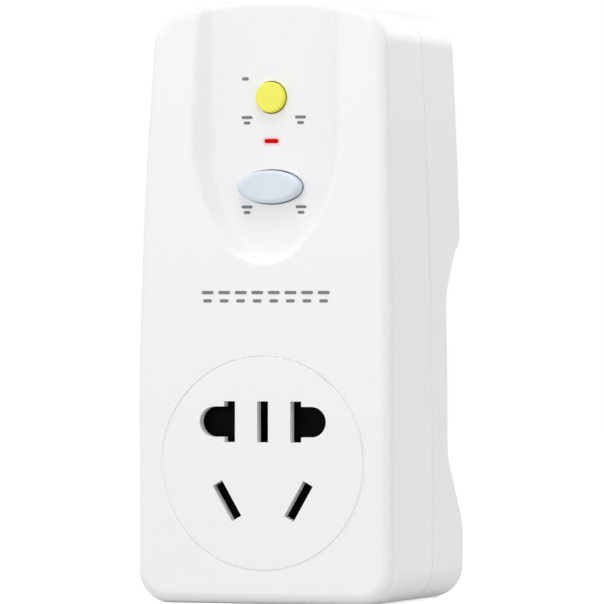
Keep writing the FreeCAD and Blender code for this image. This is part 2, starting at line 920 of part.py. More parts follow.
board_half_width = d.body_width / 2 - d.wall - d.board_side_gap
stand_side = board_half_width - d.stand_inset
STAND_PLACES = [
    (-stand_side, d.stand_low_height),
    (stand_side, d.stand_low_height),
    (-stand_side, d.stand_high_height),
    (stand_side, d.stand_high_height),
]
stand_rods = fused("stand_rods", *[
    rod(f"board_stand_{corner}", "y", (x, board_rear, z), rear - board_rear, d.stand_radius)
    for corner, (x, z) in zip(CORNERS, STAND_PLACES)])
stand_limit = skin("stand_limit", d.wall / 2)
stands = common("board_stands", stand_rods, stand_limit)

rear_shell = cut_away("rear_shell", rear_skin, rear_hollow)
rear_solid = fused("rear_solid", rear_shell, lip, rear_posts_inside, stands)
rear_cover = keep("rear_cover", cut_away("rear_open", rear_solid, shank_holes, head_bores, pin_openings))

# Pins, held in an insulating plate inside the rear wall

for name, side in (("live_pin", 1), ("neutral_pin", -1)):
    blade = line_blade(name + "_blade", 0, carrier_front - d.tail_length, rear + d.line_pin_length)
    keep(name, blade if side > 0 else mirrored(name, blade))
keep("earth_pin", earth_blade("earth_pin", 0, carrier_front - d.tail_length, rear + d.earth_pin_length))
carrier_plate = block("carrier_plate", (-d.carrier_half_width, carrier_front, d.carrier_bottom),
                      (d.carrier_half_width, inside_rear, d.carrier_top))
keep("pin_carrier", cut_away("pin_carrier", carrier_plate, pin_openings))

# Cover screws, sunk from the rear

screws = []
for corner, (x, z) in zip(CORNERS, SCREW_PLACES):
    shank = rod(f"screw_shank_{corner}", "y", (x, screw_tip, z), head_seat - screw_tip, d.screw_radius)
    head = rod(f"screw_head_{corner}", "y", (x, head_seat, z), d.screw_head_height, d.screw_head_radius)
    arm = d.cross_reach
    half = d.cross_half_width
    cross = fused(
        f"screw_cross_{corner}",
        block(f"screw_cross_wide_{corner}", (x - arm, head_seat + d.screw_head_height / 2, z - half),
              (x + arm, head_seat + d.screw_head_height * 2, z + half)),
        block(f"screw_cross_high_{corner}", (x - half, head_seat + d.screw_head_height / 2, z - arm),
              (x + half, head_seat + d.screw_head_height * 2, z + arm)))
    screws.append(cut_away(f"screw_{corner}", fused(f"screw_blank_{corner}", shank, head), cross))
keep("cover_screws", group("cover_screws", *screws))

# Socket block, with a sunken face for the shutters and a cavity for each contact

block_blank = block("block_blank", (-d.block_half_width, block_front, d.block_bottom),
                    (d.block_half_width, d.block_rear, d.block_top))
shutter_half = d.shutter_half_width + d.play
pocket = block("shutter_space", (-shutter_half, block_front - d.wall, d.block_bottom + d.shutter_rim),
               (shutter_half, pocket_floor, d.block_top - d.shutter_rim))
double_bottom = slot_height - d.slot_half_length - d.shutter_margin
double_top = slot_height + d.slot_half_length + d.shutter_margin
slant_reach = d.slot_half_length * cosine(d.blade_tilt) + d.slot_half_width * sine(d.blade_tilt)
triple_bottom = blade_height - slant_reach - d.shutter_margin
triple_top = blade_height + slant_reach + d.shutter_margin
bridge_bottom = double_bottom - d.shutter_bridge
channel = d.shutter_spring_radius + d.slip
spring_floor = pocket_floor + d.shutter_spring_radius * 2 + d.slip * 2
double_channel = block(
    "double_channel", (d.shutter_spring_side - channel, pocket_floor - d.wall / 2, bridge_bottom - d.play),
    (d.shutter_spring_side + channel, spring_floor, d.block_top - d.shutter_rim))
triple_channel = block(
    "triple_channel", (-channel, pocket_floor - d.wall / 2, d.block_bottom + d.shutter_rim),
    (channel, spring_floor, triple_top + d.play))
jaw_outer = d.blade_thickness / 2 + d.leaf
strip_rear = d.contact_plane + d.strip
contact_space = d.contact_plane - d.play


def space(label, low, high):
    return block(label, (low[0], cavity_front, low[1]), (high[0], d.block_rear + d.wall, high[1]))


double_space = space(
    "double_space", (d.flat_side - jaw_outer - d.strip, slot_height - d.slot_half_length - d.strip),
    (d.lobe_centre + d.lobe_radius + d.play, slot_height + d.slot_half_length + d.strip))
slant_space = space(
    "slant_space", (d.blade_side - slant_reach, blade_height - slant_reach - d.leaf),
    (d.blade_side + slant_reach, blade_height + slant_reach + d.leaf))
line_neck = block(
    "line_neck", (d.strip_inner - d.play, contact_space, blade_height - slant_reach),
    (d.strip_outer + d.play, d.block_rear + d.wall, d.block_top + d.wall))
earth_space = space(
    "earth_space", (-jaw_outer - d.play, slot_height - d.slot_half_length - d.strip),
    (jaw_outer + d.play, slot_height + d.slot_half_length + d.strip))
earth_neck = block(
    "earth_neck", (-d.earth_strip_half - d.play, contact_space, slot_height - d.slot_half_length - d.strip),
    (d.earth_strip_half + d.play, d.block_rear + d.wall, d.block_top + d.wall))
one_side = fused("line_spaces", double_space, slant_space, line_neck, double_channel)
socket_block = keep("socket_block", cut_away(
    "socket_block", block_blank, pocket, triple_channel, one_side, mirrored("line_spaces_left", one_side),
    earth_space, earth_neck, outlet_cut))
cover_plate = block("cover_plate", (-d.block_half_width, d.block_rear, d.block_bottom),
                    (d.block_half_width, d.block_rear + d.cover_thickness, d.block_top))
keep("block_cover", cover_plate)

# Shutters behind the openings: the upper one rises for a two-pin plug, the lower one drops for a three-pin plug

shutter_front = pocket_floor - d.slip - d.shutter_thickness
shutter_rear = pocket_floor - d.slip
gap_half = d.slot_half_width + d.shutter_margin
bridge_half = d.flat_side - d.slot_half_width - d.shutter_margin
double_plate = prism("double_plate", "XZ", [
    (-d.shutter_half_width, double_bottom),
    (-bridge_half, double_bottom),
    (-bridge_half, bridge_bottom),
    (bridge_half, bridge_bottom),
    (bridge_half, double_bottom),
    (d.shutter_half_width, double_bottom),
    (d.shutter_half_width, double_top),
    (gap_half, double_top),
    (gap_half, double_bottom - d.shutter_margin),
    (-gap_half, double_bottom - d.shutter_margin),
    (-gap_half, double_top),
    (-d.shutter_half_width, double_top),
], shutter_front, shutter_rear)
lug_reach = spring_floor - d.slip
lug_half = d.shutter_spring_radius
double_lugs = [
    block(f"double_lug_{name}", (side * d.shutter_spring_side - lug_half, shutter_rear, bridge_bottom),
          (side * d.shutter_spring_side + lug_half, lug_reach, double_bottom - d.shutter_margin))
    for name, side in (("left", -1), ("right", 1))]
keep("two_pole_shutter", fused("two_pole_shutter", double_plate, *double_lugs))
triple_half = d.blade_side + slant_reach
triple_plate = block("triple_plate", (-triple_half, shutter_front, triple_bottom),
                     (triple_half, shutter_rear, triple_top))
triple_lug = block("triple_lug", (-lug_half, shutter_rear, triple_top - d.shutter_bridge / 2),
                   (lug_half, lug_reach, triple_top))
keep("three_pole_shutter", fused("three_pole_shutter", triple_plate, triple_lug))
spring_depth = pocket_floor + d.slip + d.shutter_spring_radius
double_seat = double_bottom - d.shutter_margin
double_springs = [
    coil_spring(f"double_spring_{name}", "z", (side * d.shutter_spring_side, spring_depth, double_seat),
                d.block_top - d.shutter_rim - double_seat, d.shutter_spring_radius, d.shutter_wire,
                SHUTTER_SPRING_TURNS)
    for name, side in (("left", -1), ("right", 1))]
keep("two_pole_springs", group("two_pole_springs", *double_springs))
triple_seat = d.block_bottom + d.shutter_rim
keep("three_pole_spring", coil_spring(
    "three_pole_spring", "z", (0, spring_depth, triple_seat), triple_top - d.shutter_bridge / 2 - triple_seat,
    d.shutter_spring_radius, d.shutter_wire, SHUTTER_SPRING_TURNS))

# Outlet contacts: spring jaws for both pin patterns on one strip for each pole

leaf_middle = d.blade_thickness / 2 + d.leaf / 2
flat_jaw = [
    block(f"flat_leaf_{name}",
          (d.flat_side + side * leaf_middle - d.leaf / 2, d.jaw_front, slot_height - d.jaw_half_length),
          (d.flat_side + side * leaf_middle + d.leaf / 2, d.contact_plane + d.strip / 2,
           slot_height + d.jaw_half_length))
    for name, side in (("inner", -1), ("outer", 1))]
slant_jaw = [
    prism(f"slant_leaf_{name}", "XZ",
          tilted_rectangle(d.blade_side + cosine(d.blade_tilt) * leaf_middle * side,
                           blade_height - sine(d.blade_tilt) * leaf_middle * side,
                           d.leaf / 2, d.jaw_half_length, d.blade_tilt),
          d.jaw_front, d.contact_plane + d.strip / 2)
    for name, side in (("inner", -1), ("outer", 1))]
line_strip = block("line_strip", (d.strip_inner, d.contact_plane, blade_height - d.jaw_half_length),
                   (d.strip_outer, strip_rear, d.tail_top))
live_contact = keep("live_contact", fused("live_contact", line_strip, *flat_jaw, *slant_jaw))
keep("neutral_contact", mirrored("neutral_contact", live_contact))
earth_jaw = [
    block(f"earth_leaf_{name}", (side * leaf_middle - d.leaf / 2, d.jaw_front, slot_height - d.jaw_half_length),
          (side * leaf_middle + d.leaf / 2, d.contact_plane + d.strip / 2, slot_height + d.jaw_half_length))
    for name, side in (("left", -1), ("right", 1))]
earth_strip = block("earth_strip", (-d.earth_strip_half, d.contact_plane, slot_height - d.jaw_half_length),
                    (d.earth_strip_half, strip_rear, d.earth_tail_top))
keep("earth_contact", fused("earth_contact", earth_strip, *earth_jaw))
strap_bottom = d.block_top + d.strip
tail_face = carrier_front - d.tail_length
keep("earth_strap", prism("earth_strap", "YZ", [
    (strip_rear, strap_bottom),
    (tail_face, strap_bottom),
    (tail_face, PIN_HEIGHTS["earth"] + d.blade_half_width),
    (tail_face - d.strip, PIN_HEIGHTS["earth"] + d.blade_half_width),
    (tail_face - d.strip, strap_bottom + d.strip),
    (strip_rear + d.strip, strap_bottom + d.strip),
    (strip_rear + d.strip, d.earth_tail_top),
    (strip_rear, d.earth_tail_top),
], -d.earth_strip_half, d.earth_strip_half))

# Test button: a round cap with a rim behind the panel and a stem that bows the test contact

test_top = panel_floor - d.test_stand
rim_front = panel_back + d.play
rim_rear = rim_front + d.flange
test_cap = rod("test_cap", "y", (0, test_top, d.test_height), rim_rear - test_top, d.test_radius)
test_flange = rod("test_flange", "y", (0, rim_front, d.test_height), d.flange, d.test_radius + d.flange_rim)
test_stem = rod("test_stem", "y", (0, rim_front, d.test_height), d.test_stem_end - rim_front,
                d.test_stem_radius)
test_button = new_body("test_button")
test_button.BaseFeature = fused("test_solid", test_cap, test_flange, test_stem)
doc.recompute()
add_fillet(test_button, "test_cap_edge", test_button.Tip,
           lambda e: near(e.BoundBox.YMax, test_top), d.test_edge)
keep("test_button", test_button)

# Reset button: an oval cap with a dished face, hollow for its spring, on a rim and a guide stem

reset_top = panel_floor - d.reset_stand
reset_rim_front = panel_back + d.play
reset_rim_rear = reset_rim_front + d.flange
cap_blank = ellipse_form("reset_cap", 0, d.reset_height, d.reset_half_width, d.reset_half_height,
                         reset_top, reset_rim_rear)
cap_rim = ellipse_form("reset_rim", 0, d.reset_height, d.reset_half_width + d.flange_rim,
                       d.reset_half_height + d.flange_rim, reset_rim_front, reset_rim_rear)
dish_radius = (d.reset_half_width * d.reset_half_width + d.reset_dish * d.reset_dish) / (d.reset_dish * 2)
dish = rod("reset_dish_cut", "z",
           (0, reset_top + d.reset_dish - dish_radius, d.reset_height - d.reset_half_width),
           d.reset_half_width * 2, dish_radius)
reset_bore = rod("reset_bore", "y", (0, reset_top + d.reset_roof, d.reset_height),
                 reset_rim_rear - reset_top, d.reset_spring_radius + d.slip)
reset_stem = rod("reset_stem", "y", (0, reset_top + d.reset_roof - d.slip, d.reset_height),
                 d.reset_stem_end - reset_top - d.reset_roof + d.slip, d.reset_stem_radius)
reset_shell = cut_away("reset_shell", fused("reset_blank", cap_blank, cap_rim), dish, reset_bore)
reset_button = new_body("reset_button")
reset_button.BaseFeature = fused("reset_solid", reset_shell, reset_stem)
doc.recompute()
add_fillet(
    reset_button, "reset_cap_edge", reset_button.Tip,
    lambda e: e.BoundBox.YMax < number(reset_top + d.reset_dish + d.slip)
    and e.BoundBox.XLength > number(d.reset_dish), d.reset_edge)
keep("reset_button", reset_button)
spring_roof = reset_top + d.reset_roof
keep("reset_spring", coil_spring(
    "reset_spring", "y", (0, spring_roof, d.reset_height), d.frame_front - spring_roof,
    d.reset_spring_radius, d.reset_wire, RESET_SPRING_TURNS))

# Indicator: a light guide in the panel, a lamp behind it and its two leads

lens_gap = d.slip / 2
lens_front = round_slot("lens_front", d.lamp_height, d.lamp_half_width - lens_gap,
                        d.lamp_half_height - lens_gap, panel_floor, panel_back + lens_gap)
lens_foot = block(
    "lens_foot", (-d.lamp_half_width - d.lens_rim, panel_back, d.lamp_height - d.lamp_half_height - d.lens_rim),
    (d.lamp_half_width + d.lens_rim, panel_back + d.lens_rim, d.lamp_height + d.lamp_half_height + d.lens_rim))
keep("indicator_lens", fused("indicator_lens", lens_front, lens_foot))
lamp_front = panel_back + d.lens_rim
lamp_rear = lamp_front + d.lamp_length
lamp_dome = rod("lamp_dome", "y", (0, lamp_front, d.lamp_height), d.lamp_length, d.lamp_radius)
lamp_rim = rod("lamp_rim", "y", (0, lamp_rear - d.strip, d.lamp_height), d.strip, d.lamp_radius + d.slip * 3)
keep("indicator_lamp", fused("indicator_lamp", lamp_dome, lamp_rim))


def round_bar(label, points, radius, bends):
    """A round bar along straight runs with a tangent arc at each inner point."""
    places = [Vector(*(number(item) for item in point)) for point in points]
    edges = []
    start = places[0]
    for index in range(1, len(places) - 1):
        corner = places[index]
        before = (places[index - 1] - corner).normalize()
        after = (places[index + 1] - corner).normalize()
        half = before.getAngle(after) / 2
        bend = number(bends)
        reach = bend / math.tan(half)
        middle = corner + (before + after).normalize() * (bend / math.sin(half) - bend)
        enter = corner + before * reach
        leave = corner + after * reach
        edges.append(Part.LineSegment(start, enter).toShape())
        edges.append(Part.Arc(enter, middle, leave).toShape())
        start = leave
    edges.append(Part.LineSegment(start, places[-1]).toShape())
    path = Part.Wire(edges)
    direction = (places[1] - places[0]).normalize()
    section = Part.Wire(Part.Circle(places[0], direction, number(radius)).toShape())
    bar = doc.addObject("Part::Feature", label)
    bar.Shape = path.makePipeShell([section], True, True)
    return bar


lamp_leads = [
    round_bar(f"lamp_lead_{name}", [
        (side * d.lead_pitch, lamp_rear, d.lamp_height),
        (side * d.lead_pitch, lamp_rear + d.strip, d.lamp_height),
        (side * d.lead_spread_side, lamp_rear + d.strip + d.strip, d.lamp_height),
        (side * d.lead_spread_side, board_rear + d.strip, d.lamp_height),
    ], d.lead_wire, d.lamp_lead_bend)
    for name, side in (("left", -1), ("right", 1))]
keep("lamp_leads", group("lamp_leads", *lamp_leads))

# Circuit board with its through holes

board_top = d.shoulder_height - d.board_top_drop
board_notch = screw_high_height - boss_radius - d.board_post_gap
board_top_half_width = screw_high_side - boss_radius - d.board_post_gap
board_outline = [
    (-board_half_width, d.board_bottom),
    (board_half_width, d.board_bottom),
    (board_half_width, board_notch),
    (board_top_half_width, board_notch),
    (board_top_half_width, board_top),
    (-board_top_half_width, board_top),
    (-board_top_half_width, board_notch),
    (-board_half_width, board_notch),
]
board_blank = prism("board_blank", "XZ", board_outline, d.board_front, board_rear)
line_lead_height = coil_bottom
board_holes = []
for name, side in (("left", -1), ("right", 1)):
    board_holes.append(rod(
        f"lead_hole_{name}", "y", (side * d.pole_side, d.board_front - d.wall, line_lead_height),
        d.wall * 4, d.lead_radius + d.slip))
    board_holes.append(rod(
        f"lamp_lead_hole_{name}", "y", (side * d.lead_spread_side, d.board_front - d.wall, d.lamp_height),
        d.wall * 4, d.lead_wire + d.slip))
keep("circuit_board", cut_away("circuit_board", board_blank, *board_holes))

# Mechanism frame on the board: base, side walls and a bridge that carries the fixed contacts

base_front = d.board_front - d.frame_base
bridge_rear = d.frame_front + d.frame_bridge
frame_base = block("frame_base_plate", (-d.frame_half_width, base_front, frame_bottom),
                   (d.frame_half_width, d.board_front, frame_top))
frame_bridge = block("frame_bridge_plate", (-d.frame_half_width, d.frame_front, frame_bottom),
                     (d.frame_half_width, bridge_rear, frame_top))
frame_walls = [
    block(f"frame_wall_{name}", (low, d.frame_front, frame_bottom), (high, d.board_front, frame_top))
    for name, low, high in (("left", -d.frame_half_width, -d.frame_half_width + d.frame_wall),
                            ("right", d.frame_half_width - d.frame_wall, d.frame_half_width))]
catch_front = base_front - d.catch_thickness
rails = [
    block(f"catch_rail_{name}", (low, base_front - d.catch_thickness / 2, frame_bottom),
          (high, d.board_front, frame_top))
    for name, low, high in (("left", -d.catch_half_width - d.strip - d.slip, -d.catch_half_width - d.slip),
                            ("right", d.catch_half_width + d.slip, d.catch_half_width + d.strip + d.slip))]
bracket_floor = block("bracket_floor", (-d.catch_half_width, base_front, spring_bracket - d.strip),
                      (d.catch_half_width, d.board_front, frame_bottom + d.strip))
bracket_wall = block("bracket_wall", (-d.catch_half_width, catch_front - d.strip, spring_bracket - d.strip),
                     (d.catch_half_width, d.board_front, spring_bracket))
stem_hole = rod("stem_hole", "y", (0, d.frame_front - d.wall, d.reset_height), d.frame_bridge + d.wall * 2,
                d.reset_stem_radius + d.play)
keep("mechanism_frame", cut_away(
    "mechanism_frame", fused("frame_solid", frame_base, frame_bridge, *frame_walls, *rails, bracket_floor,
                             bracket_wall), stem_hole))

# Contact slider with its catch foot, and the catch that holds it until the plunger strikes

slider_rear = d.slider_front + d.slider_thickness
slider_half = d.frame_half_width - d.frame_wall - d.play
foot_tip = catch_front + d.play
slope = d.slip * root(2)
slider_plate = block("slider_plate", (-slider_half, d.slider_front, slider_bottom),
                     (slider_half, slider_rear, slider_top))
slider_foot = prism("slider_foot", "YZ", [
    (slider_rear - d.slip, catch_slope_height + slope),
    (catch_front, catch_slope_height + slope),
    (foot_tip, catch_slope_height + slope + d.play),
    (foot_tip, foot_top),
    (slider_rear - d.slip, foot_top),
], -d.catch_window_half + d.play, d.catch_window_half - d.play)
slider_hole = rod("slider_hole", "y", (0, d.slider_front - d.wall, d.reset_height),
                  d.slider_thickness + d.wall * 2, d.reset_stem_radius + d.play)
slider_solid = fused("slider_solid", slider_plate, slider_foot)
keep("contact_slider", cut_away("contact_slider", slider_solid, slider_hole))
window_top = foot_top + d.trip_travel + d.play
tab_front = d.slider_front + d.strip
catch_blank = prism("catch_blank", "YZ", [
    (catch_front, catch_bottom),
    (base_front, catch_bottom),
    (base_front, catch_top),
    (tab_front, catch_top),
    (tab_front, catch_top - d.catch_tab),
    (catch_front, catch_top - d.catch_tab),
], -d.catch_half_width, d.catch_half_width)
catch_window = prism("catch_window", "YZ", [
    (catch_front - d.play, catch_slope_height - d.play),
    (base_front + d.play, catch_slope_height + d.catch_thickness + d.play),
    (base_front + d.play, window_top),
    (catch_front - d.play, window_top),
], -d.catch_window_half, d.catch_window_half)
keep("trip_catch", cut_away("trip_catch", catch_blank, catch_window))
catch_middle = catch_front + d.catch_thickness / 2
keep("catch_spring", coil_spring(
    "catch_spring", "z", (0, catch_middle, spring_bracket), catch_bottom - spring_bracket,
    d.catch_spring_radius, d.shutter_wire, CATCH_SPRING_TURNS))
opening_springs = [
    coil_spring(f"opening_spring_{name}", "y", (side * d.catch_half_width, bridge_rear, d.reset_height),
                d.slider_front - bridge_rear, d.catch_spring_radius, d.shutter_wire, OPENING_SPRING_TURNS)
    for name, side in (("left", -1), ("right", 1))]
keep("opening_springs", group("opening_springs", *opening_springs))

# Switching contacts: one bridge for each pole on the slider, two fixed strips for each pole on the frame

bridge_face = d.slider_front - d.leaf
strip_face = bridge_rear + d.strip
pole_low = d.pole_side - d.pole_half_width
pole_high = d.pole_side + d.pole_half_width
live_bridge = keep("live_bridge", block(
    "live_bridge", (pole_low, bridge_face, load_pad_height - d.pad_radius),
    (pole_high, d.slider_front, line_pad_height + d.pad_radius)))
keep("neutral_bridge", mirrored("neutral_bridge", live_bridge))


def pad(label, height):
    start = bridge_rear + d.slip
    return rod(label, "y", (d.pole_side, start, height), bridge_face - start, d.pad_radius)


line_plate = block("line_plate", (pole_low, bridge_rear, line_pad_height - d.pad_radius - d.slip),
                   (pole_high, strip_face, line_lead_height + d.pad_radius))
live_line_contact = keep("live_line_contact", fused("live_line_contact", line_plate,
                                                    pad("line_pad", line_pad_height)))
keep("neutral_line_contact", mirrored("neutral_line_contact", live_line_contact))
load_lap = d.contact_plane - d.strip
load_profile = prism("load_profile", "YZ", [
    (bridge_rear, load_pad_height + d.pad_radius + d.slip),
    (bridge_rear, load_step),
    (load_lap, load_step),
    (load_lap, d.block_top + d.wall),
    (d.contact_plane, d.block_top + d.wall),
    (d.contact_plane, load_step + d.strip),
    (strip_face, load_step + d.strip),
    (strip_face, load_pad_height + d.pad_radius + d.slip),
], pole_low, pole_high)
load_link = block("load_link", (d.strip_inner + d.strip, load_lap, d.block_top + d.wall),
                  (pole_high, d.contact_plane, d.tail_top))
live_load_contact = keep("live_load_contact", fused("live_load_contact", load_profile, load_link,
                                                    pad("load_pad", load_pad_height)))
keep("neutral_load_contact", mirrored("neutral_load_contact", live_load_contact))

# Trip solenoid above the catch: bobbin, winding, steel yoke and plunger

coil_top = coil_bottom + d.coil_length
yoke_bottom = coil_bottom - d.yoke_thickness
yoke_top = coil_top + d.yoke_thickness
plunger_bore = rod("plunger_bore", "z", (0, d.coil_depth, yoke_bottom - d.wall), d.coil_length + d.wall * 3,
                   d.plunger_radius + d.button_gap)
bobbin_core = rod("bobbin_core", "z", (0, d.coil_depth, coil_bottom), d.coil_length, d.coil_core_radius)
bobbin_low = rod("bobbin_low", "z", (0, d.coil_depth, coil_bottom), d.strip, d.coil_radius)
bobbin_high = rod("bobbin_high", "z", (0, d.coil_depth, coil_top - d.strip), d.strip, d.coil_radius)
bobbin_solid = fused("bobbin_solid", bobbin_core, bobbin_low, bobbin_high)
keep("trip_bobbin", cut_away("trip_bobbin", bobbin_solid, plunger_bore))
winding_blank = rod("winding_blank", "z", (0, d.coil_depth, coil_bottom + d.strip),
                    d.coil_length - d.strip * 2, d.coil_radius - d.leaf / 2)
winding_core = rod("winding_core", "z", (0, d.coil_depth, coil_bottom), d.coil_length, d.coil_core_radius)
keep("trip_winding", cut_away("trip_winding", winding_blank, winding_core))
yoke_front = d.coil_depth - d.coil_radius
yoke_plate = block("yoke_plate", (-d.coil_radius, d.board_front - d.yoke_thickness, yoke_bottom),
                   (d.coil_radius, d.board_front, yoke_top))
yoke_ends = [
    block(f"yoke_end_{name}", (-d.coil_radius, yoke_front, low),
          (d.coil_radius, d.board_front, low + d.yoke_thickness))
    for name, low in (("low", yoke_bottom), ("high", coil_top))]
keep("trip_yoke", cut_away("trip_yoke", fused("yoke_solid", yoke_plate, *yoke_ends), plunger_bore))
keep("trip_plunger", rod("trip_plunger", "z", (0, d.coil_depth, catch_top),
                         coil_top - d.strip * 2 - catch_top, d.plunger_radius))

# Test contact: a leaf on a leg at the left, and a terminal under its free end at the right

leaf_front = d.test_stem_end + d.slip
leaf_rear = leaf_front + d.test_leaf
keep("test_leaf", prism("test_leaf", "XY", [
    (-d.test_leaf_side, leaf_front),
    (d.test_leaf_side, leaf_front),
    (d.test_leaf_side, leaf_rear),
    (-d.test_leaf_side + d.test_leaf, leaf_rear),
    (-d.test_leaf_side + d.test_leaf, d.board_front),
    (-d.test_leaf_side, d.board_front),
], d.test_height - d.test_stem_radius, d.test_height + d.test_stem_radius))
terminal_side = d.test_leaf_side - d.strip * 2
keep("test_terminal", block(
    "test_terminal", (terminal_side - d.strip, leaf_rear + d.test_travel, d.test_height - d.test_stem_radius),
    (terminal_side, d.board_front, d.test_height + d.test_stem_radius)))

# Current transformer behind the board, and the two line leads that run through it

core_blank = rod("core_blank", "z", (0, d.ring_core_depth, d.ring_core_bottom), d.ring_core_length,
                 d.ring_core_radius)
core_bore = rod("core_bore", "z", (0, d.ring_core_depth, d.ring_core_bottom - d.wall),
                d.ring_core_length + d.wall * 2, d.ring_core_bore)
keep("current_transformer", cut_away("current_transformer", core_blank, core_bore))
core_top = d.ring_core_bottom + d.ring_core_length
lead_start = tail_face - d.lead_bend * 2
for name, side in (("live_lead", 1), ("neutral_lead", -1)):
    keep(name, round_bar(name, [
        (side * d.blade_side, tail_face, PIN_HEIGHTS["live"]),
        (side * d.blade_side, lead_start, PIN_HEIGHTS["live"]),
        (side * d.blade_side, lead_start, PIN_HEIGHTS["live"] + d.lead_bend * 4),
        (side * d.lead_spread, d.ring_core_depth, d.ring_core_bottom - d.lead_bend * 2),
        (side * d.lead_spread, d.ring_core_depth, core_top + d.lead_bend * 2),
        (side * d.pole_side, lead_start, core_top + d.lead_bend * 6),
        (side * d.pole_side, lead_start, line_lead_height),
        (side * d.pole_side, strip_face, line_lead_height),
    ], d.lead_radius, d.lead_bend))

# Small components on the board

keep("film_capacitor", block(
    "film_capacitor", (-d.capacitor_half, board_rear, d.capacitor_bottom),
    (d.capacitor_half, board_rear + d.capacitor_depth, d.capacitor_bottom + d.capacitor_height)))
keep("varistor", rod("varistor", "y", (d.varistor_side, board_rear, d.varistor_height), d.varistor_depth,
                     d.varistor_radius))
keep("test_resistor", rod("test_resistor", "z", (d.resistor_side, d.board_front - d.resistor_radius,
                                                 d.resistor_bottom), d.resistor_length, d.resistor_radius))
keep("control_chip", block(
    "control_chip", (-d.chip_side - d.chip_half, d.board_front - d.chip_depth, d.chip_bottom),
    (-d.chip_side + d.chip_half, d.board_front, d.chip_bottom + d.chip_half * 2)))

# Write each piece after every object has been found sound

doc.recompute()
for item in doc.Objects:
    if "Invalid" in item.State or "Error" in item.State:
        raise RuntimeError(item.Label + " could not be built")
    if hasattr(item, "Shape") and not item.Shape.isNull() and not item.Shape.isValid():
        raise RuntimeError(item.Label + " has an unsound shape")
os.makedirs("parts", exist_ok=True)
for name, item in PARTS.items():
    shape = item.Shape
    if shape.isNull() or not shape.isValid() or not shape.Solids:
        raise RuntimeError(name + " has no sound solid")
    shape.exportStep(f"parts/{name}.step")
    print(name, len(shape.Solids), "solid", round(shape.Volume, 1), "mm3")
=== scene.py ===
import json
import math

import bmesh
import bpy
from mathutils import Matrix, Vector


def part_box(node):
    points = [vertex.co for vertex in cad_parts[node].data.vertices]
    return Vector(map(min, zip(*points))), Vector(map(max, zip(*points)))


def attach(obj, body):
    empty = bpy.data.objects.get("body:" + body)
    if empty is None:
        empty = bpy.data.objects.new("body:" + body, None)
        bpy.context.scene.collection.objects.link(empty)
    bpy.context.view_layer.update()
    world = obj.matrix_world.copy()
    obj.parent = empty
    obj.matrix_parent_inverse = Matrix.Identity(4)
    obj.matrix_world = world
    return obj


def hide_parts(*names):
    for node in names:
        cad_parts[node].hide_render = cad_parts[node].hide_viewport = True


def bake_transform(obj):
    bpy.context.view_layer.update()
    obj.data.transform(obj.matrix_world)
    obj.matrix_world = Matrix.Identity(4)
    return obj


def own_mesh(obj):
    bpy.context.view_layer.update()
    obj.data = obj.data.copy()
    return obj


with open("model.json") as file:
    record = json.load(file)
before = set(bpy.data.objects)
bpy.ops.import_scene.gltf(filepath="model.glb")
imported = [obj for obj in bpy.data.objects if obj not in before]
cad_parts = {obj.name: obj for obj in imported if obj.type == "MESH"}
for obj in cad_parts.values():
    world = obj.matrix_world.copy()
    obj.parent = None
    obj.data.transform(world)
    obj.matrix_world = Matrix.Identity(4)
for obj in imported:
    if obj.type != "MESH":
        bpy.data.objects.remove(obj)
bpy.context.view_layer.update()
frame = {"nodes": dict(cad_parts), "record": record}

# Looks of a tall plug-in residual current adaptor: a white housing with a yellow test button, a red
# indicator, a pale oval reset button and a black outlet, and the mechanism inside.

bl_info = {
    "name": "Residual current adaptor",
    "version": (1, 0, 0),
    "blender": (4, 5, 0),
    "location": "View3D > Sidebar > Adaptor",
    "description": "Finishes the packed adaptor and sets a plain studio around it",
    "category": "Object",
}

MM = 0.001
X, Y, Z = 0, 1, 2
LOW, HIGH = 0, 1
QUARTER = math.pi / 2.0
UNTURNED = (0.0, 0.0, 0.0)
Z_TO_Y = (-QUARTER, 0.0, 0.0)
WHITE = (1.0, 1.0, 1.0, 1.0)

# Vertices nearer than WELD are one. Faces that differ by less than FLAT_ANGLE become one face, and
# edges that turn by more than SHARP_ANGLE stay sharp.
WELD = 0.002 * MM
FLAT_ANGLE = math.radians(0.2)
SHARP_ANGLE = math.radians(32.0)
SHARP_SCREW_ANGLE = math.radians(35.0)

# Ring core: radius of its wire, number of its loops, width of its wall and radius of its hole
CORE_WIRE = 0.12 * MM
CORE_TURNS = 84
CORE_WALL = 3.8 * MM
CORE_HOLE = 3.2 * MM

# Cover screws: height of the head and radius over the thread
SCREW_CROWN = 1.7 * MM
SCREW_SHANK = 1.3 * MM

# Front: thickness of the ink, reach of the indicator's painted halo and length of the lens at each
# end where the painted halo already fades
INK_FILM = 0.06 * MM
PAINTED_HALO_REACH = 1.3 * MM
LENS_END = 1.2 * MM

COPPER_UNDER_MASK = (0.16, 0.42, 0.16)

# Studio: width of the film in millimetres, half width of the floor and the place that the lamps
# face
FILM_WIDTH = 36.0
FLOOR_HALF = 1.5
LIT_PLACE = Vector((0.0, 0.0, 0.055))

# Sockets of a Mix node that mixes colours
MIX_FACTOR, MIX_FIRST, MIX_SECOND, MIX_RESULT = 0, 6, 7, 2


# Node trees


class Signal:
    """One output of a node tree. Arithmetic on it adds Math nodes to the same tree."""

    def __init__(self, graph, socket):
        self.graph = graph
        self.socket = socket

    def __add__(self, other):
        return self.graph.maths("ADD", self, other)

    def __radd__(self, other):
        return self.graph.maths("ADD", other, self)

    def __sub__(self, other):
        return self.graph.maths("SUBTRACT", self, other)

    def __rsub__(self, other):
        return self.graph.maths("SUBTRACT", other, self)

    def __mul__(self, other):
        return self.graph.maths("MULTIPLY", self, other)

    def __rmul__(self, other):
        return self.graph.maths("MULTIPLY", other, self)

    def __truediv__(self, other):
        return self.graph.maths("DIVIDE", self, other)

    def __rtruediv__(self, other):
        return self.graph.maths("DIVIDE", other, self)


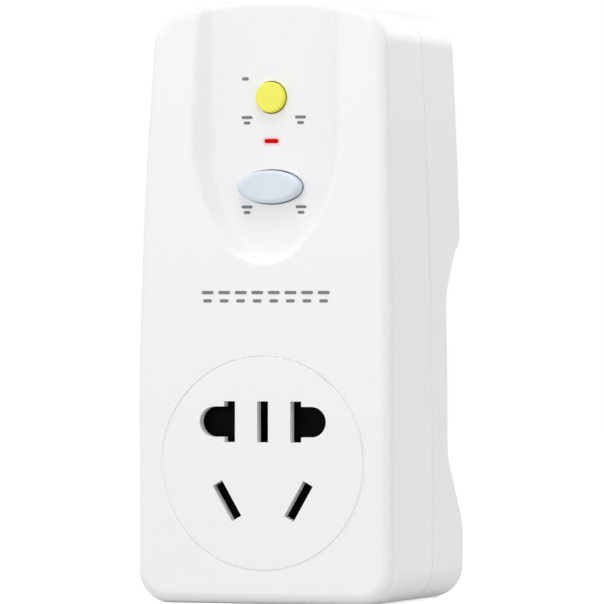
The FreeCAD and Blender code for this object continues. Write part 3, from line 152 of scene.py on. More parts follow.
class Graph:
    """A node tree with one method that adds any node."""

    def __init__(self, tree):
        self.tree = tree
        self.tree.nodes.clear()

    def add(self, kind, settings=None, sockets=None, output=0):
        """Adds a node: its settings first, then the values or links of its sockets."""
        node = self.tree.nodes.new(kind)
        for name, value in (settings or {}).items():
            setattr(node, name, value)
        for key, value in (sockets or {}).items():
            if isinstance(value, Signal):
                self.tree.links.new(value.socket, node.inputs[key])
            else:
                node.inputs[key].default_value = value
        return Signal(self, node.outputs[output]) if len(node.outputs) else None

    def maths(self, operation, first, second=0.0):
        return self.add("ShaderNodeMath", {"operation": operation}, {0: first, 1: second})

    def vector(self, x=0.0, y=0.0, z=0.0):
        return self.add("ShaderNodeCombineXYZ", None, {X: x, Y: y, Z: z})

    def part(self, vector, axis):
        return self.add("ShaderNodeSeparateXYZ", None, {0: vector}, output=axis)

    def mix(self, factor, first, second):
        return self.add("ShaderNodeMix", {"data_type": "RGBA"}, {
            MIX_FACTOR: factor, MIX_FIRST: first, MIX_SECOND: second}, output=MIX_RESULT)

    def place(self):
        return self.add("ShaderNodeTexCoord", output="Object")

    def stretched(self, scale):
        return self.add("ShaderNodeMapping", None, {"Vector": self.place(), "Scale": scale})

    def noise(self, scale, detail=2.0, where=None):
        """Grey noise from 0 to 1; the scale counts its features in a metre."""
        return self.add("ShaderNodeTexNoise", None, {
            "Vector": where or self.place(), "Scale": scale, "Detail": detail})

    def bump(self, height, distance):
        return self.add("ShaderNodeBump", None, {
            "Height": height, "Distance": distance, "Strength": 1.0})


class FormTree(Graph):
    """A Geometry Nodes tree that grows one kind of piece from named inputs."""

    def __init__(self, name, inputs):
        tree = bpy.data.node_groups.new(name, "GeometryNodeTree")
        tree.interface.new_socket("Geometry", in_out="OUTPUT", socket_type="NodeSocketGeometry")
        tree.interface.new_socket("Places", in_out="INPUT", socket_type="NodeSocketGeometry")
        self.keys = {}
        for label, kind in inputs.items():
            socket = tree.interface.new_socket(
                label, in_out="INPUT", socket_type="NodeSocket" + kind)
            self.keys[label] = socket.identifier
        super().__init__(tree)
        self.entry = tree.nodes.new("NodeGroupInput")

    def given(self, label):
        return Signal(self, self.entry.outputs[label])

    def wire(self, path, profile_radius, sides=10):
        """A round wire with closed ends along a path."""
        profile = self.add("GeometryNodeCurvePrimitiveCircle", None, {
            "Resolution": sides, "Radius": profile_radius}, output="Curve")
        return self.add("GeometryNodeCurveToMesh", None, {
            "Curve": path, "Profile Curve": profile, "Fill Caps": True})

    def tube(self, radius, depth, sides=32):
        return self.add("GeometryNodeMeshCylinder", {"fill_type": "NGON"}, {
            "Vertices": sides, "Radius": radius, "Depth": depth}, output="Mesh")

    def cone(self, bottom, top, depth, sides=32):
        return self.add("GeometryNodeMeshCone", {"fill_type": "NGON"}, {
            "Vertices": sides, "Radius Top": top, "Radius Bottom": bottom, "Depth": depth},
            output="Mesh")

    def cuboid(self, x, y, z):
        return self.add("GeometryNodeMeshCube", None, {"Size": self.vector(x, y, z)}, output="Mesh")

    def moved(self, geometry, shift, turn=UNTURNED):
        return self.add("GeometryNodeTransform", None, {
            "Geometry": geometry, "Translation": shift, "Rotation": turn})

    def joined(self, *geometries):
        node = self.tree.nodes.new("GeometryNodeJoinGeometry")
        for item in geometries:
            self.tree.links.new(item.socket, node.inputs[0])
        return Signal(self, node.outputs[0])

    def on_points(self, points, instance, turn=UNTURNED):
        return self.add("GeometryNodeInstanceOnPoints", None, {
            "Points": points, "Instance": instance, "Rotation": turn})

    def at_places(self, instance, turn=UNTURNED):
        return self.on_points(self.given("Places"), instance, turn)

    def close(self, geometry):
        """Real geometry with its material at the end of the tree."""
        real = self.add("GeometryNodeRealizeInstances", None, {"Geometry": geometry})
        painted = self.add("GeometryNodeSetMaterial", None, {
            "Geometry": real, "Material": self.given("Material")})
        self.add("NodeGroupOutput", None, {"Geometry": painted})
        return self


def rgba(colour):
    return (*colour[:3], 1.0)


def shaded(colour, factor):
    return (*(channel * factor for channel in colour[:3]), 1.0)


def new_material(name):
    material = bpy.data.materials.new(name)
    material.use_nodes = True
    return material, Graph(material.node_tree)


def close_surface(graph, shader):
    graph.add("ShaderNodeOutputMaterial", None, {"Surface": shader})


# Materials


def painted_halo(graph, middle, flat, reach):
    """Mask of a red glow that is painted into the plastic's colour round a lit slot: 1 at the slot,
    which lies along X, falling to 0 at its reach, on a face that looks forward. It falls only from
    the distance called flat to each side of the middle."""
    place = graph.place()
    across = graph.maths("ABSOLUTE", graph.part(place, X) - middle.x)
    aside = graph.maths("MAXIMUM", across - flat, 0.0)
    above = graph.part(place, Z) - middle.z
    distance = graph.maths("SQRT", aside * aside + above * above)
    near = graph.maths("MAXIMUM", 1.0 - distance / reach, 0.0)
    return near * near


def moulded_plastic(name, colour, roughness=0.3, grain=0.006, grain_size=0.5, mottle=0.02,
                    specular=0.5, lamp=None):
    """Injection moulded plastic: even colour, a trace of flow mottle and a fine spark-eroded grain.
    A lamp that is set in it gives it a painted halo: the lamp's red glow is painted into the base
    colour round it."""
    material, graph = new_material(name)
    flow = graph.noise(60.0)
    fine = graph.noise(1.0 / (grain_size * MM), 3.0)
    tint = graph.mix(flow, shaded(colour, 1.0 - mottle), shaded(colour, 1.0 + mottle * 0.5))
    if lamp:
        lamp_colour, *slot = lamp
        # Painted glow: the lit slot's red light is mixed into the base colour round the slot
        tint = graph.mix(painted_halo(graph, *slot), tint, rgba(lamp_colour))
    close_surface(graph, graph.add("ShaderNodeBsdfPrincipled", None, {
        "Base Color": tint,
        "Roughness": roughness - 0.03 + flow * 0.04 + fine * 0.03,
        "Specular IOR Level": specular,
        "Normal": graph.bump(fine, grain * MM),
    }))
    return material


def rolled_metal(name, colour, roughness=0.28, lines=(1.0, 1.0, 0.06), tarnish=0.25):
    """Stamped strip: fine rolling lines along one axis, with faint tarnish in patches."""
    material, graph = new_material(name)
    streaks = graph.noise(9000.0, 2.0, graph.stretched(lines))
    patches = graph.noise(220.0, 3.0)
    tint = graph.mix(patches * tarnish, rgba(colour), shaded(colour, 0.55))
    close_surface(graph, graph.add("ShaderNodeBsdfPrincipled", None, {
        "Base Color": tint,
        "Metallic": 1.0,
        "Roughness": roughness + streaks * 0.12 + patches * 0.08,
        "Normal": graph.bump(streaks, 0.003 * MM),
    }))
    return material


def plated_steel(name, colour):
    """Zinc plate: a cool grey with fine cloudy spangle."""
    material, graph = new_material(name)
    cloud = graph.noise(1400.0, 4.0)
    tint = graph.mix(cloud, shaded(colour, 0.82), shaded(colour, 1.08))
    close_surface(graph, graph.add("ShaderNodeBsdfPrincipled", None, {
        "Base Color": tint,
        "Metallic": 1.0,
        "Roughness": 0.26 + cloud * 0.2,
        "Normal": graph.bump(cloud, 0.004 * MM),
    }))
    return material


def enamelled_wire(name, colour):
    """Copper under clear enamel."""
    material, graph = new_material(name)
    cloud = graph.noise(900.0, 2.0)
    tint = graph.mix(cloud, shaded(colour, 0.8), shaded(colour, 1.15))
    close_surface(graph, graph.add("ShaderNodeBsdfPrincipled", None, {
        "Base Color": tint,
        "Metallic": 0.85,
        "Roughness": 0.22 + cloud * 0.12,
        "Coat Weight": 0.6,
    }))
    return material


def board_laminate(name, mask_colour, copper_colour):
    """Green solder mask with lighter copper tracks that show through it."""
    material, graph = new_material(name)
    cells = graph.add("ShaderNodeTexVoronoi", {"distance": "MANHATTAN", "feature": "F1"}, {
        "Vector": graph.place(), "Scale": 260.0})
    bands = cells * 2.0
    tracks = graph.maths("LESS_THAN", bands - graph.maths("FLOOR", bands), 0.35)
    weave = graph.noise(2600.0, 1.0)
    tint = graph.mix(tracks * 0.6, rgba(mask_colour), rgba(copper_colour))
    close_surface(graph, graph.add("ShaderNodeBsdfPrincipled", None, {
        "Base Color": tint,
        "Roughness": 0.3 + weave * 0.1,
        "Normal": graph.bump(tracks + weave * 0.2, 0.02 * MM),
    }))
    return material


def lit_lens(name, colour, glow):
    """Red light guide, lit from behind, faintly clouded."""
    material, graph = new_material(name)
    cloud = graph.noise(700.0, 1.0)
    light = graph.mix(cloud, shaded(colour, 0.85), shaded(colour, 1.1))
    close_surface(graph, graph.add("ShaderNodeBsdfPrincipled", None, {
        "Base Color": light,
        "Roughness": 0.35,
        "Specular IOR Level": 0.03,
        "Emission Color": light,
        "Emission Strength": glow,
    }))
    return material


def printed_ink(name, colour):
    """Pad printed ink, slightly uneven where it is thin."""
    material, graph = new_material(name)
    uneven = graph.noise(3000.0, 2.0)
    tint = graph.mix(uneven, shaded(colour, 0.9), shaded(colour, 1.15))
    close_surface(graph, graph.add("ShaderNodeBsdfPrincipled", None, {
        "Base Color": tint,
        "Roughness": 0.45 + uneven * 0.1,
    }))
    return material


PALETTE = {}


def slot_colour(slot):
    record = frame["record"]["materials"]
    return next(item["base_color"] for item in record if item["slot"] == slot)


def mix_palette(finish):
    """One material for each of the record's slots, one for the front and one for the ink."""
    plastic = {
        "housing_plastic": dict(colour=finish.housing, roughness=finish.gloss, grain=0.003,
                                grain_size=0.35, mottle=0.008, specular=0.35),
        "test_yellow": dict(colour=finish.test, roughness=0.32, mottle=0.02),
        "reset_grey": dict(colour=finish.reset, roughness=0.3, mottle=0.02),
        # Outlet block and shutters: black plastic, darkened past its own colour as painted shade
        # for the dark inside of the slots
        "block_plastic": dict(colour=finish.outlet, roughness=0.6, specular=0.03),
        "shutter_plastic": dict(colour=finish.outlet, roughness=0.5, specular=0.03),
        "frame_plastic": dict(colour=slot_colour("frame_plastic"), roughness=0.4, mottle=0.05),
        "slider_plastic": dict(colour=slot_colour("slider_plastic"), roughness=0.42, mottle=0.05),
        "core_coating": dict(colour=slot_colour("core_coating"), roughness=0.35, grain=0.02),
        "live_insulation": dict(colour=slot_colour("live_insulation"), roughness=0.45),
        "neutral_insulation": dict(colour=slot_colour("neutral_insulation"), roughness=0.45),
        "capacitor_case": dict(colour=slot_colour("capacitor_case"), roughness=0.35),
        "varistor_coating": dict(colour=slot_colour("varistor_coating"), roughness=0.3, grain=0.02),
        "resistor_coating": dict(colour=slot_colour("resistor_coating"), roughness=0.4, grain=0.02),
        "chip_plastic": dict(colour=slot_colour("chip_plastic"), roughness=0.5, grain=0.01),
    }
    # The front's painted halo: the lit slot's red glow, painted into the plastic's colour round it
    low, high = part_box("indicator_lens")
    lamp = (finish.painted_halo, (low + high) / 2.0, (high.x - low.x) / 2.0 - LENS_END, PAINTED_HALO_REACH)
    plastic["front_plastic"] = dict(plastic["housing_plastic"], lamp=lamp)
    for slot, look in plastic.items():
        PALETTE[slot] = moulded_plastic(slot, **look)
    PALETTE["pin_brass"] = rolled_metal("pin_brass", finish.brass, roughness=0.12,
                                        lines=(1.0, 0.04, 1.0), tarnish=0.12)
    PALETTE["contact_brass"] = rolled_metal("contact_brass", slot_colour("contact_brass"))
    PALETTE["steel"] = plated_steel("steel", slot_colour("steel"))
    PALETTE["winding_copper"] = enamelled_wire("winding_copper", slot_colour("winding_copper"))
    PALETTE["board_laminate"] = board_laminate("board_laminate", slot_colour("board_laminate"),
                                               COPPER_UNDER_MASK)
    PALETTE["indicator_red"] = lit_lens("indicator_red", finish.indicator, finish.glow)
    PALETTE["ink"] = printed_ink("ink", finish.ink)


def dress(item, slot):
    item.data.materials.clear()
    item.data.materials.append(PALETTE[slot])


def slot_of(node):
    record = frame["record"]["subparts"]
    return next(item["material_slot"] for item in record if item["node"] == node)


# Mesh helpers


def link(name, mesh):
    item = bpy.data.objects.new(name, mesh)
    bpy.context.scene.collection.objects.link(item)
    return item


def baked(item):
    """The object with its modifiers turned into plain mesh."""
    graph = bpy.context.evaluated_depsgraph_get()
    mesh = bpy.data.meshes.new_from_object(item.evaluated_get(graph), depsgraph=graph)
    item.modifiers.clear()
    item.data = mesh
    return item


def steepen_panel(build):
    """Moves the foot of the sunken panel's wall outwards, so that only a narrow rim catches the
    light. The holes of the buttons and the lamp stay, and the move fades out towards the top."""
    rim, floor, slack = -20.4 * MM, -16.3 * MM, 0.01 * MM
    half_width, bottom = 17.0 * MM, 60.0 * MM
    reset_height, half_reset_width, half_reset_height = 75.3 * MM, 7.6 * MM, 4.6 * MM
    half_holes_width, upper_holes_bottom = 7.0 * MM, 79.0 * MM
    reach, fade_top, fade_length = 2.2 * MM, 84.0 * MM, 14.0 * MM
    level_normal, backward_normal = 0.02, 0.1
    build.normal_update()
    shifts = {}
    for vert in build.verts:
        across, back, up = vert.co
        above_reset = up - reset_height
        at_reset = math.hypot(across / half_reset_width, above_reset / half_reset_height) < 1.0
        at_upper_holes = abs(across) < half_holes_width and up > upper_holes_bottom
        beside = abs(across) > half_width or up < bottom
        off_wall = back < rim or back > floor + slack
        away = Vector((-vert.normal.x, 0.0, -vert.normal.z))
        unlike_wall = vert.normal.y > backward_normal or away.length < level_normal
        if at_reset or at_upper_holes or beside or off_wall or unlike_wall:
            continue
        depth = (back - rim) / (floor - rim)
        fade = min(1.0, max(0.0, (fade_top - up) / fade_length))
        shifts[vert] = away.normalized() * (reach * depth * fade)
    for vert, shift in shifts.items():
        vert.co += shift


def slim_core(build):
    """Draws the ring core in on all sides by the thickness of the wire that is wound on it."""
    low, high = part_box("current_transformer")
    centre = (low + high) / 2.0
    middle = (high.x - low.x - CORE_WALL) / 2.0
    both_wires = 4.0 * CORE_WIRE
    thinner = 1.0 - both_wires / CORE_WALL
    lower = 1.0 - both_wires / (high.z - low.z)
    for vert in build.verts:
        place = vert.co - centre
        radius = math.hypot(place.x, place.y)
        drawn = (middle + (radius - middle) * thinner) / radius
        vert.co = centre + Vector((place.x * drawn, place.y * drawn, place.z * lower))


def merged_copy(node, name, reshape=None):
    """A copy of a node's mesh with its loose triangles joined and its round faces shaded smooth."""
    mesh = frame["nodes"][node].data.copy()
    build = bmesh.new()
    build.from_mesh(mesh)
    bmesh.ops.remove_doubles(build, verts=build.verts, dist=WELD)
    if reshape:
        reshape(build)
    bmesh.ops.dissolve_limit(build, angle_limit=FLAT_ANGLE, verts=build.verts, edges=build.edges)
    build.to_mesh(mesh)
    build.free()
    mesh.shade_smooth()
    mesh.set_sharp_from_angle(angle=SHARP_ANGLE)
    return link(name, mesh)


def body_of(node):
    groups = frame["record"]["behaviour"]["bodies"]
    return next(name for name, members in groups.items() if node in members)


def stands_for(item, node):
    """Shows a finished piece in place of the node, on the node's body."""
    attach(item, body_of(node))
    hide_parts(node)


def finished_copy(node, name, finish=None, reshape=None):
    """A node's own shape with even shading, shown in its place."""
    item = merged_copy(node, name, reshape)
    normals = item.modifiers.new("even_normals", "WEIGHTED_NORMAL")
    normals.keep_sharp = True
    normals.weight = 90
    baked(item)
    dress(item, finish or slot_of(node))
    stands_for(item, node)
    return item


def solids_of(node):
    """Lowest and highest corners of each separate solid in a node, from left to right."""
    build = bmesh.new()
    build.from_mesh(frame["nodes"][node].data)
    bmesh.ops.remove_doubles(build, verts=build.verts, dist=WELD)
    waiting = set(build.verts)
    boxes = []
    while waiting:
        front = [waiting.pop()]
        places = []
        while front:
            vert = front.pop()
            places.append(vert.co.copy())
            for edge in vert.link_edges:
                other = edge.other_vert(vert)
                if other in waiting:
                    waiting.remove(other)
                    front.append(other)
        boxes.append(tuple(Vector(pick(place[axis] for place in places) for axis in range(3))
                           for pick in (min, max)))
    build.free()
    return sorted(boxes, key=lambda box: tuple(box[0]))


def grown(name, tree, places, finish, **sizes):
    """What a tree makes at the places, as one plain mesh with one material."""
    mesh = bpy.data.meshes.new(name)
    mesh.from_pydata([tuple(place) for place in places], [], [])
    item = link(name, mesh)
    modifier = item.modifiers.new("form", "NODES")
    modifier.node_group = tree.tree
    modifier[tree.keys["Material"]] = PALETTE[finish]
    for label, value in sizes.items():
        modifier[tree.keys[label.capitalize()]] = value
    baked(item)
    item.data.polygons.foreach_set("material_index", [0] * len(item.data.polygons))
    dress(item, finish)
    return item


# Trees that grow wire coils, screws, the winding of the ring core and printed bars


def coil_tree():
    """Round wire wound along Z from each place, with a flat turn at both ends."""
    tree = FormTree("wire_coil", {
        "Radius": "Float", "Wire": "Float", "Length": "Float", "Turns": "Float", "Turn": "Vector",
        "Material": "Material"})
    steps = 28
    wire = tree.given("Wire")
    middle = tree.given("Radius") - wire
    rise = tree.given("Length") - wire * 2.0
    helix = tree.add("GeometryNodeCurveSpiral", None, {
        "Resolution": steps, "Rotations": tree.given("Turns"), "Start Radius": middle,
        "End Radius": middle, "Height": rise})
    flat_turn = tree.add("GeometryNodeCurvePrimitiveCircle", None, {
        "Resolution": steps, "Radius": middle}, output="Curve")
    ring = tree.wire(flat_turn, wire)
    coil = tree.joined(tree.wire(helix, wire), ring, tree.moved(ring, tree.vector(0.0, 0.0, rise)))
    lifted = tree.moved(coil, tree.vector(0.0, 0.0, wire))
    return tree.close(tree.at_places(lifted, tree.given("Turn")))


def screw_tree():
    """A cross-headed screw that stands on each place: its head above, its threaded shank below."""
    tree = FormTree("cover_screw", {
        "Head": "Float", "Crown": "Float", "Shank": "Float", "Reach": "Float", "Turn": "Vector",
        "Material": "Material"})
    head, crown, shank, reach = (tree.given(label) for label in ("Head", "Crown", "Shank", "Reach"))
    rim = crown * 0.25
    side = crown - rim
    seat = tree.moved(tree.tube(head, side, 48), tree.vector(0.0, 0.0, side * 0.5))
    top = tree.cone(head, head - rim, rim, 48)
    blank = tree.joined(seat, tree.moved(top, tree.vector(0.0, 0.0, side)))
    arm_length, arm_width = head * 1.1, head * 0.26
    arm = tree.moved(tree.cuboid(arm_length, arm_width, crown), tree.vector(0.0, 0.0, crown))
    cross = tree.joined(arm, tree.moved(arm, UNTURNED, (0.0, 0.0, QUARTER)))
    recessed = tree.add("GeometryNodeMeshBoolean", {"operation": "DIFFERENCE", "solver": "EXACT"}, {
        "Mesh 1": blank, "Mesh 2": cross, "Self Intersection": True})
    core = shank * 0.82
    tip = reach * 0.12
    straight = reach - tip
    body = tree.moved(tree.tube(core, straight), tree.vector(0.0, 0.0, straight * -0.5))
    point = tree.moved(tree.cone(core, core * 0.3, tip), tree.vector(0.0, 0.0, straight * -1.0),
                       (2.0 * QUARTER, 0.0, 0.0))
    threaded, thread_foot, thread_turns = straight * 0.9, straight * -0.96, 11.0
    flight = tree.add("GeometryNodeCurveSpiral", None, {
        "Resolution": 24, "Rotations": thread_turns, "Start Radius": core, "End Radius": core,
        "Height": threaded})
    thread = tree.moved(tree.wire(flight, shank - core, 6), tree.vector(0.0, 0.0, thread_foot))
    screw = tree.joined(recessed, body, point, thread)
    return tree.close(tree.at_places(screw, tree.given("Turn")))


def winding_tree():
    """Wire loops side by side round a ring core that lies flat at each place."""
    tree = FormTree("ring_winding", {
        "Inner": "Float", "Outer": "Float", "Height": "Float", "Wire": "Float", "Count": "Int",
        "Material": "Material"})
    inner, outer, wire, count = (tree.given(label) for label in ("Inner", "Outer", "Wire", "Count"))
    thickness = wire * 2.0
    edge = tree.add("GeometryNodeCurvePrimitiveQuadrilateral", {"mode": "RECTANGLE"}, {
        "Width": outer - inner - thickness, "Height": tree.given("Height") - thickness})
    bent = tree.add("GeometryNodeFilletCurve", {"mode": "POLY"}, {
        "Curve": edge, "Count": 3, "Radius": thickness})
    loop = tree.wire(bent, wire, 8)
    around = tree.add("GeometryNodeMeshCircle", None, {
        "Vertices": count, "Radius": (inner + outer) * 0.5})
    full_turn = 4.0 * QUARTER
    turn = tree.vector(QUARTER, 0.0, tree.add("GeometryNodeInputIndex") * full_turn / count)
    return tree.close(tree.at_places(tree.on_points(around, loop, turn)))


def bar_tree():
    """Flat rounded bars laid on the front of a shell."""
    tree = FormTree("printed_bars", {
        "Length": "Float", "Height": "Float", "Film": "Float", "Shell": "Object",
        "Material": "Material"})
    end = tree.tube(tree.given("Height") * 0.5, tree.given("Film"), 24)
    reach = (tree.given("Length") - tree.given("Height")) * 0.5
    left = tree.moved(end, tree.vector(reach * -1.0), (QUARTER, 0.0, 0.0))
    right = tree.moved(end, tree.vector(reach), (QUARTER, 0.0, 0.0))
    bar = tree.add("GeometryNodeConvexHull", None, {"Geometry": tree.joined(left, right)})
    bars = tree.add("GeometryNodeRealizeInstances", None, {"Geometry": tree.at_places(bar)})
    place = tree.add("GeometryNodeInputPosition")
    across, up = tree.part(place, X), tree.part(place, Z)
    shell = tree.add("GeometryNodeObjectInfo", {"transform_space": "RELATIVE"}, {
        "Object": tree.given("Shell")}, output="Geometry")
    in_front, far_enough = -0.1, 0.2
    seen = tree.add("GeometryNodeRaycast", None, {
        "Target Geometry": shell, "Source Position": tree.vector(across, in_front, up),
        "Ray Direction": (0.0, 1.0, 0.0), "Ray Length": far_enough}, output="Hit Position")
    laid = tree.vector(across, tree.part(seen, Y) + tree.part(place, Y), up)
    return tree.close(tree.add("GeometryNodeSetPosition", None, {
        "Geometry": bars, "Position": laid}))


# Settings that a user would change


class FinishSettings(bpy.types.PropertyGroup):
    """Colours and finishes that a user would change."""

    housing: bpy.props.FloatVectorProperty(
        name="Housing", description="Colour of the housing", subtype="COLOR", size=3,
        default=(0.86, 0.865, 0.865), min=0.0, max=1.0)
    gloss: bpy.props.FloatProperty(
        name="Housing roughness", description="Roughness of the housing's surface",
        subtype="FACTOR", default=0.38, min=0.05, max=1.0)
    test: bpy.props.FloatVectorProperty(
        name="Test button", description="Colour of the round button", subtype="COLOR", size=3,
        default=(0.86, 0.82, 0.07), min=0.0, max=1.0)
    reset: bpy.props.FloatVectorProperty(
        name="Reset button", description="Colour of the oval button", subtype="COLOR", size=3,
        default=(0.66, 0.72, 0.79), min=0.0, max=1.0)
    indicator: bpy.props.FloatVectorProperty(
        name="Indicator", description="Colour of the lit slot", subtype="COLOR", size=3,
        default=(0.5, 0.0, 0.0), min=0.0, max=1.0)
    glow: bpy.props.FloatProperty(
        name="Indicator light", description="Strength of the lit slot",
        default=0.35, min=0.0, max=20.0)
    # Colour of the painted halo: the lit slot's glow, painted onto the plastic round it
    painted_halo: bpy.props.FloatVectorProperty(
        name="Halo", description="Colour that the lit slot gives the plastic round it",
        subtype="COLOR", size=3, default=(0.86, 0.15, 0.15), min=0.0, max=1.0)
    # Near black: the outlet's black plastic, darkened further as painted shade so the slots read as
    # dark as their shadowed inside
    outlet: bpy.props.FloatVectorProperty(
        name="Outlet", description="Colour of the outlet block and its shutters",
        subtype="COLOR", size=3, default=(0.0015, 0.0015, 0.0015), min=0.0, max=1.0)
    brass: bpy.props.FloatVectorProperty(
        name="Pins", description="Colour of the brass pins", subtype="COLOR", size=3,
        default=(0.9, 0.74, 0.4), min=0.0, max=1.0)
    ink: bpy.props.FloatVectorProperty(
        name="Ink", description="Colour of the printed marks", subtype="COLOR", size=3,
        default=(0.16, 0.16, 0.17), min=0.0, max=1.0)


class StudioSettings(bpy.types.PropertyGroup):
    """Camera and light."""

    azimuth: bpy.props.FloatProperty(
        name="Azimuth", description="Turn of the camera to the right of the front",
        subtype="ANGLE", default=math.radians(19.8))
    distance: bpy.props.FloatProperty(
        name="Distance", description="From the camera to the middle of the housing",
        unit="LENGTH", default=1.17)
    height: bpy.props.FloatProperty(
        name="Height", description="Height of the camera above the base",
        unit="LENGTH", default=0.0545)
    lens: bpy.props.FloatProperty(
        name="Lens", description="Focal length on a 36 mm wide film", unit="CAMERA", default=380.6)
    room: bpy.props.FloatProperty(
        name="Room light", description="Strength of the even light from all sides",
        default=0.58, min=0.0)


# Pieces


# Rows of printed bars: name, height on the front, middle, pitch, count, and length and height of a
# bar, in millimetres
BARS = (
    ("test_bars", 87.9, 0.44, 10.28, 2, 2.1, 0.55),
    ("test_under_bars", 86.9, 0.44, 10.28, 2, 1.3, 0.55),
    ("reset_bars", 71.7, 0.5, 10.38, 2, 2.1, 0.55),
    ("reset_under_bars", 70.7, 0.5, 10.38, 2, 1.3, 0.55),
    ("upper_bar", 94.9, -5.0, 0.0, 1, 1.3, 0.6),
    ("rating_bars", 56.2, 0.45, 3.18, 8, 2.3, 0.6),
    ("rating_under_bars", 54.7, 0.45, 3.18, 8, 1.7, 0.6),
)

# Coils: node, name, axis, radius of the wire, turns, joint, end that stays
# and the joint's stroke, in millimetres
COILS = (
    ("reset_spring", "reset_coil", Y, 0.3, 5.0, "reset_press", HIGH, 2.0),
    ("catch_spring", "catch_coil", Z, 0.15, 8.0, "trip_drop", LOW, 1.6),
    ("two_pole_springs", "two_pole_coils", Z, 0.15, 13.0, "two_pole_shutter_slide", HIGH, 8.4),
    ("three_pole_spring", "three_pole_coil", Z, 0.15, 12.0, "three_pole_shutter_slide", LOW, 8.4),
    ("opening_springs", "opening_coils", Y, 0.15, 4.0, None, LOW, 0.0),
    ("trip_winding", "trip_turns", Z, 0.214, 33.5, None, LOW, 0.0),
)

INSIDE_NODES = (
    "varistor", "film_capacitor", "test_resistor", "live_lead", "neutral_lead", "lamp_leads",
    "indicator_lamp", "trip_bobbin", "trip_plunger", "live_contact", "neutral_contact",
    "earth_contact", "mechanism_frame",
)

# Lamps: name, place and diameter in metres, and power in watts
LAMPS = (
    ("key_light", Vector((-0.7, -1.85, 0.35)), 1.4, 10.0),
    ("top_light", Vector((0.1, -0.6, 1.7)), 1.0, 10.6),
    ("left_light", Vector((-1.3, -0.4, 0.5)), 0.9, 2.6),
    ("right_light", Vector((1.1, -0.6, 0.5)), 0.9, 2.0),
    ("back_light", Vector((0.5, 1.1, 0.7)), 0.9, 4.0),
)


class AdaptorOperator:
    """What the operators share."""

    bl_options = {"REGISTER", "UNDO"}


class ADAPTOR_OT_housing(AdaptorOperator, bpy.types.Operator):
    """Finish both halves of the housing"""

    bl_idname = "adaptor.housing"
    bl_label = "Housing"

    def execute(self, context):
        finished_copy("front_cover", "front_shell", "front_plastic", reshape=steepen_panel)
        finished_copy("rear_cover", "rear_shell")
        return {"FINISHED"}


class ADAPTOR_OT_buttons(AdaptorOperator, bpy.types.Operator):
    """Finish the test button, the reset button and the lit slot between them"""

    bl_idname = "adaptor.buttons"
    bl_label = "Buttons"

    def execute(self, context):
        finished_copy("test_button", "test_cap")
        finished_copy("reset_button", "reset_cap")
        finished_copy("indicator_lens", "lit_slot")
        return {"FINISHED"}


class ADAPTOR_OT_marks(AdaptorOperator, bpy.types.Operator):
    """Lay the printed bars on the front"""

    bl_idname = "adaptor.marks"
    bl_label = "Printed bars"

    def execute(self, context):
        shell = bpy.data.objects["front_shell"]
        tree = bar_tree()
        for name, level, middle, pitch, count, length, height in BARS:
            start = middle - pitch * (count - 1) / 2.0
            places = [Vector((start + pitch * step, 0.0, level)) * MM for step in range(count)]
            item = grown(name, tree, places, "ink", length=length * MM, height=height * MM,
                         film=INK_FILM, shell=shell)
            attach(item, "housing")
        return {"FINISHED"}


class ADAPTOR_OT_coils(AdaptorOperator, bpy.types.Operator):
    """Wind the springs and the trip coil"""

    bl_idname = "adaptor.coils"
    bl_label = "Coils"

    def execute(self, context):
        tree = coil_tree()
        for node, name, axis, wire, turns, joint, fixed, stroke in COILS:
            boxes = solids_of(node)
            low, high = boxes[0]
            size = high - low
            places = [Vector((low + high) / 2.0) for low, high in boxes]
            for place, box in zip(places, boxes):
                place[axis] = box[LOW][axis]
            item = grown(name, tree, places, slot_of(node), radius=size.x / 2.0, wire=wire * MM,
                         length=size[axis], turns=turns, turn=UNTURNED if axis == Z else Z_TO_Y)
            item.data.shade_smooth()
            if node == "opening_springs":
                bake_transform(item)
                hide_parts(node)
                continue
            stands_for(item, node)
            if joint:
                [float(axis == step) for step in (X, Y, Z)]
                1.0 - stroke * MM / size[axis]
                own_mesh(item)
        leaf = finished_copy("test_leaf", "test_strip")
        low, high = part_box("test_leaf")
        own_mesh(leaf)
        return {"FINISHED"}


class ADAPTOR_OT_screws(AdaptorOperator, bpy.types.Operator):
    """Make the screws that close the housing from behind"""

    bl_idname = "adaptor.screws"
    bl_label = "Cover screws"

    def execute(self, context):
        boxes = solids_of("cover_screws")
        low, high = boxes[0]
        places = [Vector(((low.x + high.x) / 2.0, high.y - SCREW_CROWN, (low.z + high.z) / 2.0))
                  for low, high in boxes]
        item = grown("closing_screws", screw_tree(), places, "steel", head=(high.x - low.x) / 2.0,
                     crown=SCREW_CROWN, shank=SCREW_SHANK, reach=high.y - low.y - SCREW_CROWN,
                     turn=Z_TO_Y)
        item.data.shade_smooth()
        item.data.set_sharp_from_angle(angle=SHARP_SCREW_ANGLE)
        stands_for(item, "cover_screws")
        return {"FINISHED"}


class ADAPTOR_OT_inside(AdaptorOperator, bpy.types.Operator):
    """Finish the round pieces of the mechanism and the wiring"""

    bl_idname = "adaptor.inside"
    bl_label = "Mechanism and wiring"

    def execute(self, context):
        low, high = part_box("current_transformer")
        finished_copy("current_transformer", "ring_core", reshape=slim_core)
        turns = grown("core_turns", winding_tree(), [(low + high) / 2.0], "winding_copper",
                      inner=CORE_HOLE, outer=(high.x - low.x) / 2.0, height=high.z - low.z,
                      wire=CORE_WIRE, count=CORE_TURNS)
        turns.data.shade_smooth()
        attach(turns, "housing")
        for node in INSIDE_NODES:
            finished_copy(node, node + "_finished")
        return {"FINISHED"}


class ADAPTOR_OT_nodes(AdaptorOperator, bpy.types.Operator):
    """Give every node that stays its own material"""

    bl_idname = "adaptor.nodes"
    bl_label = "Plain nodes"

    def execute(self, context):
        for name, item in frame["nodes"].items():
            dress(item, slot_of(name))
        return {"FINISHED"}


